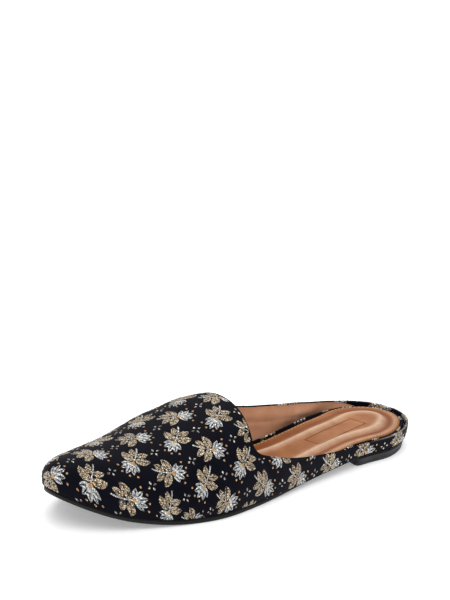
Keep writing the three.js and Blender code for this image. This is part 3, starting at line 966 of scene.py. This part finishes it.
def build_footbed(material):
    """Board wrapped in cloth: a soft padded edge round the sock."""
    outside = WALL + GAP
    rise = rim_rise(*EDGE.T)
    loops = inner_rings(ring(outside + 0.9, feather_z), 3, feather_z)[::-1]
    loops += [ring(outside + inset, surface, lift) for inset, surface, lift in COVER_SIDE]
    loops += [ring(outside + inset, footbed_top, rise * rim_bead(inset)) for inset in COVER_RIM]
    loops += [ring(outside + inset, footbed_top) for inset in COVER_TOP]
    loops += inner_rings(loops[-1], 3, footbed_top)
    return build_slab("footbed_cover", loops, material)


SOCK_EDGE = inset_edge(WALL + GAP + FOOTBED_RIM)
SOCK_INSETS = (0.0, 0.12, 0.3, 0.6, 0.95, 1.25, 1.5, 1.75, 2.1, 2.6, 3.3, 4.2, 5.2, 6.2, 7.0)
SOCK_RINGS = 43
SOCK_ROUND = 0.7
SOCK_ROUND_DEPTH = 0.6
STITCH_INSET = 1.5
PAD_RISE = 1.3
PAD_BORDER = 8.0
PAD_SLOPE = 3.6
PAD_CREST = PAD_BORDER + PAD_SLOPE
PAD_DISH = 0.7
PAD_FLAT = (30.0, 80.0)
PAD_FLATTEN = 0.75
PAD_FLATTEN_SLOPE = 7.0
SOCK_BELLS = [
    # grooves and swellings all round: distance in from the sock's edge, width, height
    (STITCH_INSET, 0.55, -0.16),
    (PAD_CREST, 2.0, 0.2),
    (PAD_BORDER - 0.5, 2.0, -0.35),
]
SOCK_WAVES = [
    # slow unevenness of the padded leather: place, radius, height
    ((44.0, -6.0), 16.0, -0.07),
    ((60.0, 12.0), 16.0, 0.07),
    ((92.0, 4.0), 18.0, -0.2),
    ((126.0, 10.0), 16.0, 0.2),
]
# Painted highlights and painted shade of the leather, as distance in from the sock's edge and width
PAD_SHINE = (PAD_BORDER + 0.9 * PAD_SLOPE, 2.7)
EDGE_SHINE = (2.9, 1.2)
EDGE_SHINE_SHARE = 0.55
EDGE_SHINE_SPREAD = 20.0
VALLEY_SHADE = (PAD_BORDER - 1.5, 2.6)


def level_drop(x):
    """How far the board bulges over a straight line between the two ends of the label's place."""
    start, end = PAD_FLAT
    share = (x - start) / (end - start)
    line = sock_base(start) * (1 - share) + sock_base(end) * share
    return np.where((share > 0) & (share < 1), line - sock_base(x), 0.0)


def sock_face(p):
    """Points of the sock's face over places in plan, and their distances from the sock's edge."""
    inset = np.sqrt(((p[:, None, :] - SOCK_EDGE[None, :, :]) ** 2).sum(axis=2)).min(axis=1)
    return sock_face_at(p, inset), inset


def sock_face_at(p, inset):
    """Points of the sock's face at a known distance in from its edge."""
    x = p[:, 0]
    edge = np.clip(1 - inset / SOCK_ROUND, 0, 1)
    shoulder = smooth((inset - PAD_BORDER) / PAD_SLOPE)
    z = sock_base(x) + SOCK_THICKNESS - SOCK_ROUND_DEPTH * (1 - np.sqrt(np.maximum(0, 1 - edge**2)))
    z = z + smooth((inset - PAD_BORDER) / PAD_FLATTEN_SLOPE) * PAD_FLATTEN * level_drop(x)
    z = z + PAD_RISE * shoulder - PAD_DISH * smooth((inset - PAD_CREST) / PAD_SLOPE)
    for place, width, height in SOCK_BELLS:
        z = z + height * bell(inset - place, width)
    for place, radius, height in SOCK_WAVES:
        z = z + height * shoulder * bell(np.hypot(*(p - place).T), radius)
    return np.column_stack([p, z])


def build_sock(material):
    """Padded leather sock with a rolled edge, a stitch channel and a raised pad."""
    base = np.column_stack([SOCK_EDGE, sock_base(SOCK_EDGE[:, 0])])
    loops = inner_rings(base, 3, sock_base)[::-1] + [base]
    loops += [sock_face_at(SOCK_EDGE + EDGE_IN * inset, inset) for inset in SOCK_INSETS]
    loops += [sock_face(p)[0] for p in towards_middle(loops[-1], SOCK_RINGS)]
    sock_piece = build_slab("insole_leather", loops, material)
    inset = np.concatenate([sock_face(loop[:, :2])[1] for loop in loops])
    # painted highlight along the pad's ridge, and along the edge on the near side only; painted shade in
    # the groove inside the border
    pad, edge, painted_valley_shade = [bell(inset - at, width) for at, width in (PAD_SHINE, EDGE_SHINE, VALLEY_SHADE)]
    near = smooth(0.5 + np.concatenate(loops)[:, 1] / EDGE_SHINE_SPREAD)
    add_shade(sock_piece, "painted_light", pad + EDGE_SHINE_SHARE * near * edge)
    # painted shade in the groove inside the border
    add_shade(sock_piece, "painted_valley_shade", painted_valley_shade)
    return sock_piece


def edge_path(inset):
    """A closed path set in from the sole's edge, with the inward ways and the distance along it."""
    path = inset_edge(inset)
    path = np.concatenate([path, path[:1]])
    return path, np.concatenate([EDGE_IN, EDGE_IN[:1]]), running_length(path)


STITCH_PITCH = 2.7
STITCH_LENGTH = 2.0
STITCH_RADIUS = 0.27
STITCH_SINK = 0.1
STITCH_ARCH = 0.05
STITCH_SIDES = 6
STITCH_ALONG = np.array([-1.0, -0.8, -0.35, 0.35, 0.8, 1.0])
STITCH_THICK = np.array([0.25, 0.75, 1.0, 1.0, 0.75, 0.25])


def build_stitches(material):
    """A row of single stitches in the sock's channel."""
    path, _, run = edge_path(WALL + GAP + FOOTBED_RIM + STITCH_INSET)
    along = STITCH_ALONG
    around = np.linspace(0, 2 * np.pi, STITCH_SIDES, endpoint=False)[:, None]
    last = (len(along) - 1) * STITCH_SIDES
    ends = [list(range(STITCH_SIDES))[::-1], [last + m for m in range(STITCH_SIDES)]]
    tube = grid_faces(len(along), STITCH_SIDES, round_rows=True).tolist() + ends
    points = []
    faces = []
    for k, centre in enumerate(np.linspace(0, run[-1], int(run[-1] / STITCH_PITCH), endpoint=False)):
        xy = read_rows((centre + along * STITCH_LENGTH / 2) % run[-1], run, path)
        z = sock_base(xy[:, 0]) + SOCK_THICKNESS - STITCH_SINK + STITCH_ARCH * (1 - along**2)
        way = unit(xy[-1] - xy[0])
        disc = np.cos(around) * [-way[1], way[0], 0.0] + np.sin(around) * [0.0, 0.0, 1.0]
        reach = STITCH_RADIUS * STITCH_THICK[:, None, None]
        rings = np.column_stack([xy, z])[:, None, :] + reach * disc
        points.append(rings.reshape(-1, 3))
        faces += [[k * len(points[0]) + corner for corner in face] for face in tube]
    return make_object("insole_stitches", np.concatenate(points), faces, material)


LABEL_CENTRE = (55.7, 5.5)
LABEL_TURN = math.radians(9.1)
LABEL_LENGTH = 45.0
LABEL_WIDTH = 10.9
LABEL_LINE = 0.65
LABEL_STEPS = 24


def build_label_line(material):
    """The blank place for a label: one pressed rectangular line, with nothing in it."""
    cos = math.cos(LABEL_TURN)
    sin = math.sin(LABEL_TURN)
    corners = np.array([(-1, -1), (1, -1), (1, 1), (-1, 1), (-1, -1)], float)
    share = np.linspace(0, 1, LABEL_STEPS, endpoint=False)[:, None]
    rows = []
    for band, lift in ((LABEL_LINE / 2, 0.015), (0.0, 0.045), (-LABEL_LINE / 2, 0.015)):
        path = corners * (np.array([LABEL_LENGTH / 2, LABEL_WIDTH / 2]) + band)
        sides = [start + (end - start) * share for start, end in zip(path, path[1:])]
        row, _ = sock_face(np.concatenate(sides) @ np.array([[cos, sin], [-sin, cos]]) + LABEL_CENTRE)
        rows.append(row + [0.0, 0.0, lift])
    faces = grid_faces(len(rows), len(rows[0]), round_rows=True)
    return make_object("label_place_line", np.concatenate(rows), faces, material)


HEEL_COLUMNS = 60
BREAST_STEPS = 36
CORNER_REACH = 8.0
CORNER_ROUNDS = 10


def heel_loop(inset, z, length):
    """The heel's loop at a height: round the back, then across the hollow breast."""
    stations = {side: even_stations(side, 0, length, HEEL_COLUMNS)[:-1] for side in SIDES}
    edge = np.concatenate([
        edge_of("medial", stations["medial"][1:][::-1]),
        edge_of("lateral", stations["lateral"]),
    ])
    i = np.arange(len(edge))
    run = unit(edge[np.minimum(i + 1, len(edge) - 1)] - edge[np.maximum(i - 1, 0)])
    back = edge - left_of(run) * inset
    t = np.linspace(0, 1, BREAST_STEPS + 1)
    y = (half_width("lateral", length) - inset) * (1 - t) + (inset - half_width("medial", length)) * t
    x = length - BREAST_HOLLOW + BREAST_HOLLOW * (2 * t - 1) ** 2
    loop = np.concatenate([back, np.stack([x, y], axis=1)])
    for corner in (loop[len(back) - 1].copy(), loop[0].copy()):
        near = np.hypot(*(loop - corner).T) < CORNER_REACH
        for _ in range(CORNER_ROUNDS):
            softer = (np.roll(loop, 1, axis=0) + 2 * loop + np.roll(loop, -1, axis=0)) / 4
            loop[near] = softer[near]
    return np.column_stack([loop, np.full(len(loop), z)])


HEEL_TOP = HEEL_LIFT - GAP
HEEL_SPLIT = 2.1
HEEL_LOW = HEEL_TAPER - 0.35
HEEL_FRONT = HEEL_LENGTH + 1.6
HEEL_LEVELS = [
    # inset from the sole's edge, height, station of the breast: worn edge, line of the top piece, top
    (HEEL_LOW + 0.9, 0.0, HEEL_FRONT - 0.9),
    (HEEL_LOW + 0.3, 0.1, HEEL_FRONT - 0.3),
    (HEEL_LOW, 0.4, HEEL_FRONT),
    (HEEL_LOW - 0.2, HEEL_SPLIT - 0.14, HEEL_FRONT),
    (HEEL_LOW - 0.05, HEEL_SPLIT - 0.06, HEEL_FRONT - 0.1),
    (HEEL_LOW - 0.05, HEEL_SPLIT + 0.06, HEEL_FRONT - 0.1),
    (HEEL_LOW - 0.25, HEEL_SPLIT + 0.14, HEEL_FRONT),
    (HEEL_INSET + 0.1, HEEL_TOP - 0.3, HEEL_FRONT),
    (HEEL_INSET + 0.5, HEEL_TOP, HEEL_FRONT - 0.3),
]


def build_heel(material):
    """Low stacked lift: a lower edge rounded off by wear, and the fine line of its top piece."""
    loops = [heel_loop(*level) for level in HEEL_LEVELS]
    n = len(loops[0])
    last = (len(loops) - 1) * n
    centre = len(loops) * n
    faces = side_faces(len(loops), n)
    for j in range(n):
        k = (j + 1) % n
        faces += [[j, k, centre], [last + k, last + j, centre + 1]]
    middle = [[HEEL_LENGTH / 2, 0.0, 0.0], [HEEL_LENGTH / 2, 0.0, HEEL_TOP]]
    points = np.concatenate([*loops, middle])
    return make_object("heel_lift", points, faces, material, shade_smooth=False)


# Covered rim of the footbed: bits of the figure where the cloth wraps over the edge

RIM_BITS = {
    # distance round the shoe as a share, and length in millimetres
    "gold": [
        (0.052, 8.0), (0.098, 6.0), (0.178, 8.0), (0.225, 7.0),
        (0.735, 10.0), (0.812, 12.0), (0.905, 8.0), (0.938, 8.0),
    ],
    "silver": [(0.018, 7.0), (0.135, 5.0), (0.275, 7.0), (0.775, 9.0), (0.858, 11.0), (0.975, 8.0)],
}
RIM_STYLES = {
    # stripes in a bit, share of a stripe that is thread, cells along it, wobble of its long edges
    "gold": (1, 0.94, 10, 0.35),
    "silver": (4, 0.62, 3, 0.0),
}
RIM_BIT_INSETS = np.linspace(0.12, 1.78, 7)
RIM_BIT_LIFTS = (0.02, 0.09, 0.09, 0.09, 0.09, 0.09, 0.02)


def build_rim_bits(materials):
    """Stripes and patches of thread that lie over the rim's bead."""
    path, ways, run = edge_path(0.0)
    made = []
    for thread, (stripes, cover, cells, wobble) in RIM_STYLES.items():
        grids = []
        for at, length in RIM_BITS[thread]:
            wave = wobble * np.sin(np.linspace(0, 7, cells + 1) + 9 * at)
            for k in range(stripes):
                first = at * run[-1] + k * length / stripes
                along = (first + np.linspace(0, length / stripes * cover, cells + 1)) % run[-1]
                edge = read_rows(along, run, path)
                way = unit(read_rows(along, run, ways))
                rows = []
                for inset, lift in zip(RIM_BIT_INSETS, RIM_BIT_LIFTS):
                    on_border = lift == RIM_BIT_LIFTS[0]
                    inset = np.maximum(inset + wave * on_border, RIM_BIT_INSETS[0])
                    p = edge + way * (WALL + GAP + inset)[:, None]
                    z = footbed_top(p[:, 0]) + rim_rise(*p.T) * rim_bead(inset) + lift
                    rows.append(np.column_stack([p, z]))
                grids.append(np.stack(rows, axis=1).reshape(-1, 3))
        block = grid_faces(cells + 1, len(RIM_BIT_INSETS))[:, ::-1]
        faces = np.concatenate([block + k * len(grids[0]) for k in range(len(grids))])
        points = np.concatenate(grids)
        made.append(make_object(f"footbed_{thread}", points, faces, materials[thread], points[:, :2]))
    return made


# Materials: colours are given as display values, 0 to 255

BLACK = (0, 0, 0)
WHITE = (255, 255, 255)
FINE_RELIEF = 0.00008
GRAIN_RELIEF = 0.00012


def linear(red, green, blue):
    """A colour's linear values."""
    channels = []
    for value in (red, green, blue):
        c = value / 255
        channels.append(c / 12.92 if c <= 0.04045 else ((c + 0.055) / 1.055) ** 2.4)
    return (*channels, 1.0)


class Surface:
    """A node material with short helpers; its shader's sockets are given by name."""

    def __init__(self, name, **sockets):
        self.material = bpy.data.materials.new(name)
        self.material.use_nodes = True
        self.tree = self.material.node_tree
        self.shader = next(n for n in self.tree.nodes if n.type == "BSDF_PRINCIPLED")
        self.put(**sockets)

    def fill(self, socket, value):
        """Links a socket to another's output, or sets its number, vector or colour."""
        if isinstance(value, bpy.types.NodeSocket):
            self.tree.links.new(value, socket)
        else:
            socket.default_value = linear(*value) if socket.type == "RGBA" else value

    def put(self, **sockets):
        for name, value in sockets.items():
            self.fill(self.shader.inputs[name.replace("_", " ")], value)

    def node(self, kind, inputs, output=0, **settings):
        """A new node's output; its inputs are given by name or number."""
        made = self.tree.nodes.new(f"ShaderNode{kind}")
        for key, value in settings.items():
            setattr(made, key, value)
        for key, value in inputs.items():
            self.fill(made.inputs[key], value)
        return made.outputs[output]

    def cloth_map(self):
        """The cloth's own millimetres."""
        return self.node("UVMap", {}, "UV", uv_map="cloth")

    def place_map(self):
        """The object's own millimetres."""
        coord = self.node("TexCoord", {}, "Object")
        return self.node("VectorMath", {0: coord, "Scale": 1000.0}, operation="SCALE")

    def shade(self, name):
        """A number that the piece's points carry."""
        return self.node("Attribute", {}, "Fac", attribute_name=name)

    def stretch(self, vector, size):
        return self.node("VectorMath", {0: vector, 1: size}, operation="MULTIPLY")

    def noise(self, vector, scale, detail, roughness=0.55):
        inputs = {"Vector": vector, "Scale": scale, "Detail": detail, "Roughness": roughness}
        return self.node("TexNoise", inputs, "Fac")

    def voronoi(self, vector, scale, feature="F1", output="Distance"):
        return self.node("TexVoronoi", {"Vector": vector, "Scale": scale}, output, feature=feature)

    def math(self, operation, *values):
        return self.node("Math", dict(enumerate(values)), operation=operation)

    def scaled(self, value, factor, offset):
        return self.math("ADD", self.math("MULTIPLY", value, factor), offset)

    def blend(self, a, b, share):
        return self.scaled(a, 1 - share, self.math("MULTIPLY", b, share))

    def mix(self, factor, a, b):
        return self.node("Mix", {"Factor": factor, 6: a, 7: b}, 2, data_type="RGBA")

    def ramp(self, value, positions, tones):
        """Tones at positions of a value."""
        colour = self.node("ValToRGB", {"Fac": value}, "Color")
        elements = colour.node.color_ramp.elements
        while len(elements) < len(positions):
            elements.new(0.5)
        for element, position, tone in zip(elements, positions, tones):
            element.position = position
            element.color = linear(*tone)
        return colour

    def first_axes(self, vector):
        x, y, _ = self.node("SeparateXYZ", {0: vector}).node.outputs
        return x, y

    def satin_lines(self, vector, pitch, slant):
        """Fine slanted ribs of a satin or twill, from the cloth's millimetres."""
        x, y = self.first_axes(vector)
        lean = self.math("ADD", x, self.math("MULTIPLY", y, slant))
        return self.math("SINE", self.math("MULTIPLY", lean, 2 * math.pi / pitch))

    def bump(self, height, strength, distance):
        """Adds relief to what there is."""
        inputs = {"Strength": strength, "Distance": distance, "Height": height}
        normal = self.shader.inputs["Normal"]
        if normal.is_linked:
            inputs["Normal"] = normal.links[0].from_socket
        self.fill(normal, self.node("Bump", inputs, "Normal"))


def cloth_ground(name, use_cloth_map=True, painted_lip_highlight=None):
    """Near-black navy satin ground of the brocade, with a painted highlight along the rolled topline if
    a colour is given for it.
    """
    s = Surface(name, Roughness=0.62, IOR=1.35, Specular_IOR_Level=0.1)
    s.put(Sheen_Weight=0.02, Sheen_Roughness=0.45, Sheen_Tint=(130, 134, 180))
    vector = s.cloth_map() if use_cloth_map else s.place_map()
    cloud = s.noise(vector, 0.09, 4.0)
    thread = s.noise(s.stretch(vector, (0.35, 2.6, 1.0)), 0.9, 2.0)
    tone = s.ramp(s.blend(cloud, thread, 0.45), (0.3, 0.52, 0.72), [(2, 2, 8), (5, 5, 16), (12, 12, 27)])
    if painted_lip_highlight is not None:
        # painted highlight along the rolled topline, where the piece's edge shade asks for it
        tone = s.mix(s.math("MULTIPLY", s.shade("edge"), s.math("ADD", thread, 0.25)), tone, painted_lip_highlight)
    s.put(Base_Color=tone, Roughness=s.scaled(thread, 0.25, 0.5))
    s.bump(s.satin_lines(vector, 0.62, 0.55), 0.35, FINE_RELIEF)
    s.bump(s.noise(vector, 1.6, 3.0), 0.25, GRAIN_RELIEF)
    return s.material


def thread_material(name, tones, dark, cell, network, metal, roughness, bands=0.0):
    """Figure thread: short floats of lighter and darker yarn, broken by the dark ground."""
    s = Surface(name, Metallic=metal, Roughness=roughness, Sheen_Weight=0.1)
    vector = s.cloth_map()
    floats = s.stretch(vector, (1.0, 1.35, 1.0))
    shade = s.ramp(s.first_axes(s.voronoi(floats, cell, "F1", "Color"))[0], (0.0, 0.5, 1.0), tones)
    edge = s.voronoi(floats, cell, "DISTANCE_TO_EDGE")
    line = s.ramp(edge, (network * 0.45, network), [BLACK, WHITE])
    fine = s.noise(s.stretch(vector, (3.2, 1.0, 1.0)), 1.4, 2.0)
    shade = s.mix(s.math("MULTIPLY", fine, 0.45), shade, tones[2])
    if bands:
        band = s.ramp(s.satin_lines(vector, bands, 0.4), (0.1, 0.55), [WHITE, BLACK])
        shade = s.mix(s.math("MULTIPLY", band, 0.45), shade, dark)
    s.put(Base_Color=s.mix(line, dark, shade))
    s.bump(line, 0.5, GRAIN_RELIEF)
    s.bump(s.satin_lines(vector, 0.7, -0.8), 0.4, FINE_RELIEF)
    return s.material


def leather(name, tones, roughness, mottling, painted_light, painted_valley_shade=None):
    """Smooth leather: drifting colour, fine pores, a soft satin, a painted light tone where the piece's
    points ask for it, lighter on the sock and darker on the lining, and painted shade in the groove if a
    colour is given.
    """
    s = Surface(name, Roughness=roughness, IOR=1.4, Specular_IOR_Level=0.08)
    s.put(Coat_Weight=0.03, Coat_Roughness=0.28)
    vector = s.place_map()
    drift = s.noise(vector, 0.028, 3.0)
    mottle = s.noise(vector, 0.16, 4.0)
    tone = s.ramp(s.blend(drift, mottle, mottling), (0.32, 0.5, 0.68), tones)
    # painted shade in the groove inside the sock's border, if a colour is given
    if painted_valley_shade is not None:
        tone = s.mix(s.math("MULTIPLY", s.shade("painted_valley_shade"), 0.75), tone, painted_valley_shade)
    # painted light tone, mixed in as far as the piece's points ask, broken up by the mottle
    painted_light_amount = s.math("MULTIPLY", s.shade("painted_light"), s.scaled(mottle, 0.6, 0.4))
    s.put(Base_Color=s.mix(painted_light_amount, tone, painted_light), Roughness=s.scaled(mottle, 0.22, roughness - 0.1))
    s.bump(s.voronoi(vector, 1.25), 0.16, GRAIN_RELIEF)
    s.bump(s.noise(vector, 0.5, 4.0), 0.18, 0.0003)
    return s.material


def sole_material(name, tones, roughness):
    """Black sole leather, burnished, with fine scuffs along the shoe."""
    s = Surface(name, Roughness=roughness, Specular_IOR_Level=0.25)
    vector = s.place_map()
    cloud = s.noise(vector, 0.1, 4.0)
    scuff = s.noise(s.stretch(vector, (0.08, 0.8, 1.6)), 1.0, 5.0)
    tone = s.ramp(s.blend(cloud, scuff, 0.5), (0.3, 0.55, 0.75), tones)
    s.put(Base_Color=tone, Roughness=s.scaled(scuff, 0.35, roughness - 0.12))
    s.bump(scuff, 0.25, 0.00015)
    s.bump(s.voronoi(vector, 1.1), 0.12, 0.0001)
    return s.material


def plain_thread(name, tones):
    """Twisted sewing thread."""
    s = Surface(name, Roughness=0.7, Specular_IOR_Level=0.12)
    vector = s.place_map()
    s.put(Base_Color=s.ramp(s.noise(vector, 0.8, 3.0), (0.3, 0.7), tones))
    s.bump(s.noise(vector, 3.0, 2.0), 0.5, 0.0001)
    return s.material


def floor_material():
    s = Surface("floor_paper", Roughness=0.9, Emission_Strength=0.3, Emission_Color=WHITE)
    drift = s.noise(s.place_map(), 0.01, 2.0)
    s.put(Base_Color=s.ramp(drift, (0.3, 0.7), [(246, 246, 247), (250, 250, 250)]))
    return s.material


# its light tone is a painted highlight on the rolled topline
GROUND = cloth_ground("brocade_ground", painted_lip_highlight=(150, 138, 130))
RIM_CLOTH = cloth_ground("footbed_ground", use_cloth_map=False)
THREADS = {
    "gold": thread_material(
        "thread_gold", [(146, 116, 80), (222, 191, 148), (255, 240, 208)], dark=(36, 28, 23),
        cell=1.0, network=0.2, metal=0.3, roughness=0.4,
    ),
    "silver": thread_material(
        "thread_silver", [(180, 184, 180), (230, 231, 229), (254, 254, 252)], dark=(58, 60, 64),
        cell=0.8, network=0.1, metal=0.35, roughness=0.32, bands=2.4,
    ),
    "copper": thread_material(
        "thread_copper", [(158, 102, 52), (212, 158, 90), (238, 196, 132)], dark=(60, 36, 20),
        cell=1.3, network=0.1, metal=0.25, roughness=0.42,
    ),
}
# its light tone is a painted highlight, its dark orange tone painted shade in the groove
SOCK_LEATHER = leather(
    "insole_tan", [(128, 76, 40), (152, 98, 62), (172, 118, 80)],
    roughness=0.4, mottling=0.3, painted_light=(218, 186, 158), painted_valley_shade=(116, 54, 12),
)
# its dark tone is painted shade above the footbed's rim
LINING_LEATHER = leather(
    "lining_tan", [(180, 128, 96), (205, 152, 120), (220, 173, 142)],
    roughness=0.46, mottling=0.15, painted_light=(92, 50, 26),
)
SOLE_BLACK = sole_material("sole_black", [(4, 4, 5), (10, 10, 12), (24, 24, 27)], roughness=0.52)
HEEL_BLACK = sole_material("heel_black", [(24, 25, 28), (44, 45, 49), (70, 71, 76)], roughness=0.5)
STITCH_THREAD = plain_thread("stitch_thread", [(186, 146, 104), (214, 178, 138)])
LABEL_BROWN = plain_thread("label_line_brown", [(84, 44, 26), (108, 62, 38)])


# The pieces

brocade = build_brocade(GROUND)
lining = build_lining(LINING_LEATHER)
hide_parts("upper")
figure = build_figure(THREADS)
bed = build_footbed(RIM_CLOTH)
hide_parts("footbed")
rim_bits = build_rim_bits(THREADS)
sock = build_sock(SOCK_LEATHER)
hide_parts("insole_sock")
stitches = build_stitches(STITCH_THREAD)
label_line = build_label_line(LABEL_BROWN)
sole = build_outsole(SOLE_BLACK)
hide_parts("outsole")
lift = build_heel(HEEL_BLACK)
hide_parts("heel")


# Floor, light and camera

FLOOR_HALF = 6.0


def build_floor():
    mesh = bpy.data.meshes.new("floor")
    corners = [(-1, -1), (1, -1), (1, 1), (-1, 1)]
    mesh.from_pydata([(x * FLOOR_HALF, y * FLOOR_HALF, 0) for x, y in corners], [], [(0, 1, 2, 3)])
    mesh.materials.append(floor_material())
    floor = bpy.data.objects.new("floor", mesh)
    COLLECTION.objects.link(floor)


def add_sun(name, place, power, spread):
    """A wide soft light from far off, that shines from a place towards the middle of the floor."""
    light = bpy.data.lights.new(name, "SUN")
    light.energy = power
    light.angle = math.radians(spread)
    lamp = bpy.data.objects.new(name, light)
    COLLECTION.objects.link(lamp)
    lamp.location = place
    lamp.rotation_euler = (-Vector(place)).to_track_quat("-Z", "Y").to_euler()


def build_light():
    world = bpy.data.worlds.new("studio")
    world.use_nodes = True
    background = world.node_tree.nodes["Background"]
    background.inputs["Color"].default_value = linear(*WHITE)
    background.inputs["Strength"].default_value = 0.7
    bpy.context.scene.world = world
    add_sun("key", (0.6, 0.5, 1.6), 1.15, 50.0)
    add_sun("back", (-0.6, -0.8, 1.6), 0.8, 40.0)


CAMERA_TURN = math.radians(43.9)
CAMERA_RISE = math.radians(21.6)
CAMERA_DISTANCE = 1.294
CAMERA_ROLL = math.radians(3.77)
SENSOR_WIDTH = 36.0
FOCAL_PIXELS = 2292.0
PHOTO_WIDTH = 450
PHOTO_HEIGHT = 600
TARGET_PIXEL = (232.5, 477.0)


def build_camera():
    """The photo's view: turned round from the toe's outer side, above, and rolled a little."""
    target = Vector(to_frame([SHOE_LENGTH / 2, 0.0, 0.0]).tolist())
    sideways = math.cos(CAMERA_RISE)
    away = Vector((
        math.sin(CAMERA_TURN) * sideways,
        math.cos(CAMERA_TURN) * sideways,
        math.sin(CAMERA_RISE),
    ))
    data = bpy.data.cameras.new("camera")
    data.sensor_width = SENSOR_WIDTH
    data.lens = FOCAL_PIXELS / PHOTO_HEIGHT * SENSOR_WIDTH
    data.shift_x = (PHOTO_WIDTH / 2 - TARGET_PIXEL[0]) / PHOTO_HEIGHT
    data.shift_y = (TARGET_PIXEL[1] - PHOTO_HEIGHT / 2) / PHOTO_HEIGHT
    data.clip_start = 0.01
    camera = bpy.data.objects.new("camera", data)
    COLLECTION.objects.link(camera)
    turned = (-away).to_track_quat("-Z", "Y").to_matrix() @ Matrix.Rotation(CAMERA_ROLL, 3, "Z")
    camera.matrix_world = Matrix.Translation(target + away * CAMERA_DISTANCE) @ turned.to_4x4()
    bpy.context.scene.camera = camera


bpy.context.scene.view_settings.view_transform = "Standard"
build_floor()
build_light()
build_camera()
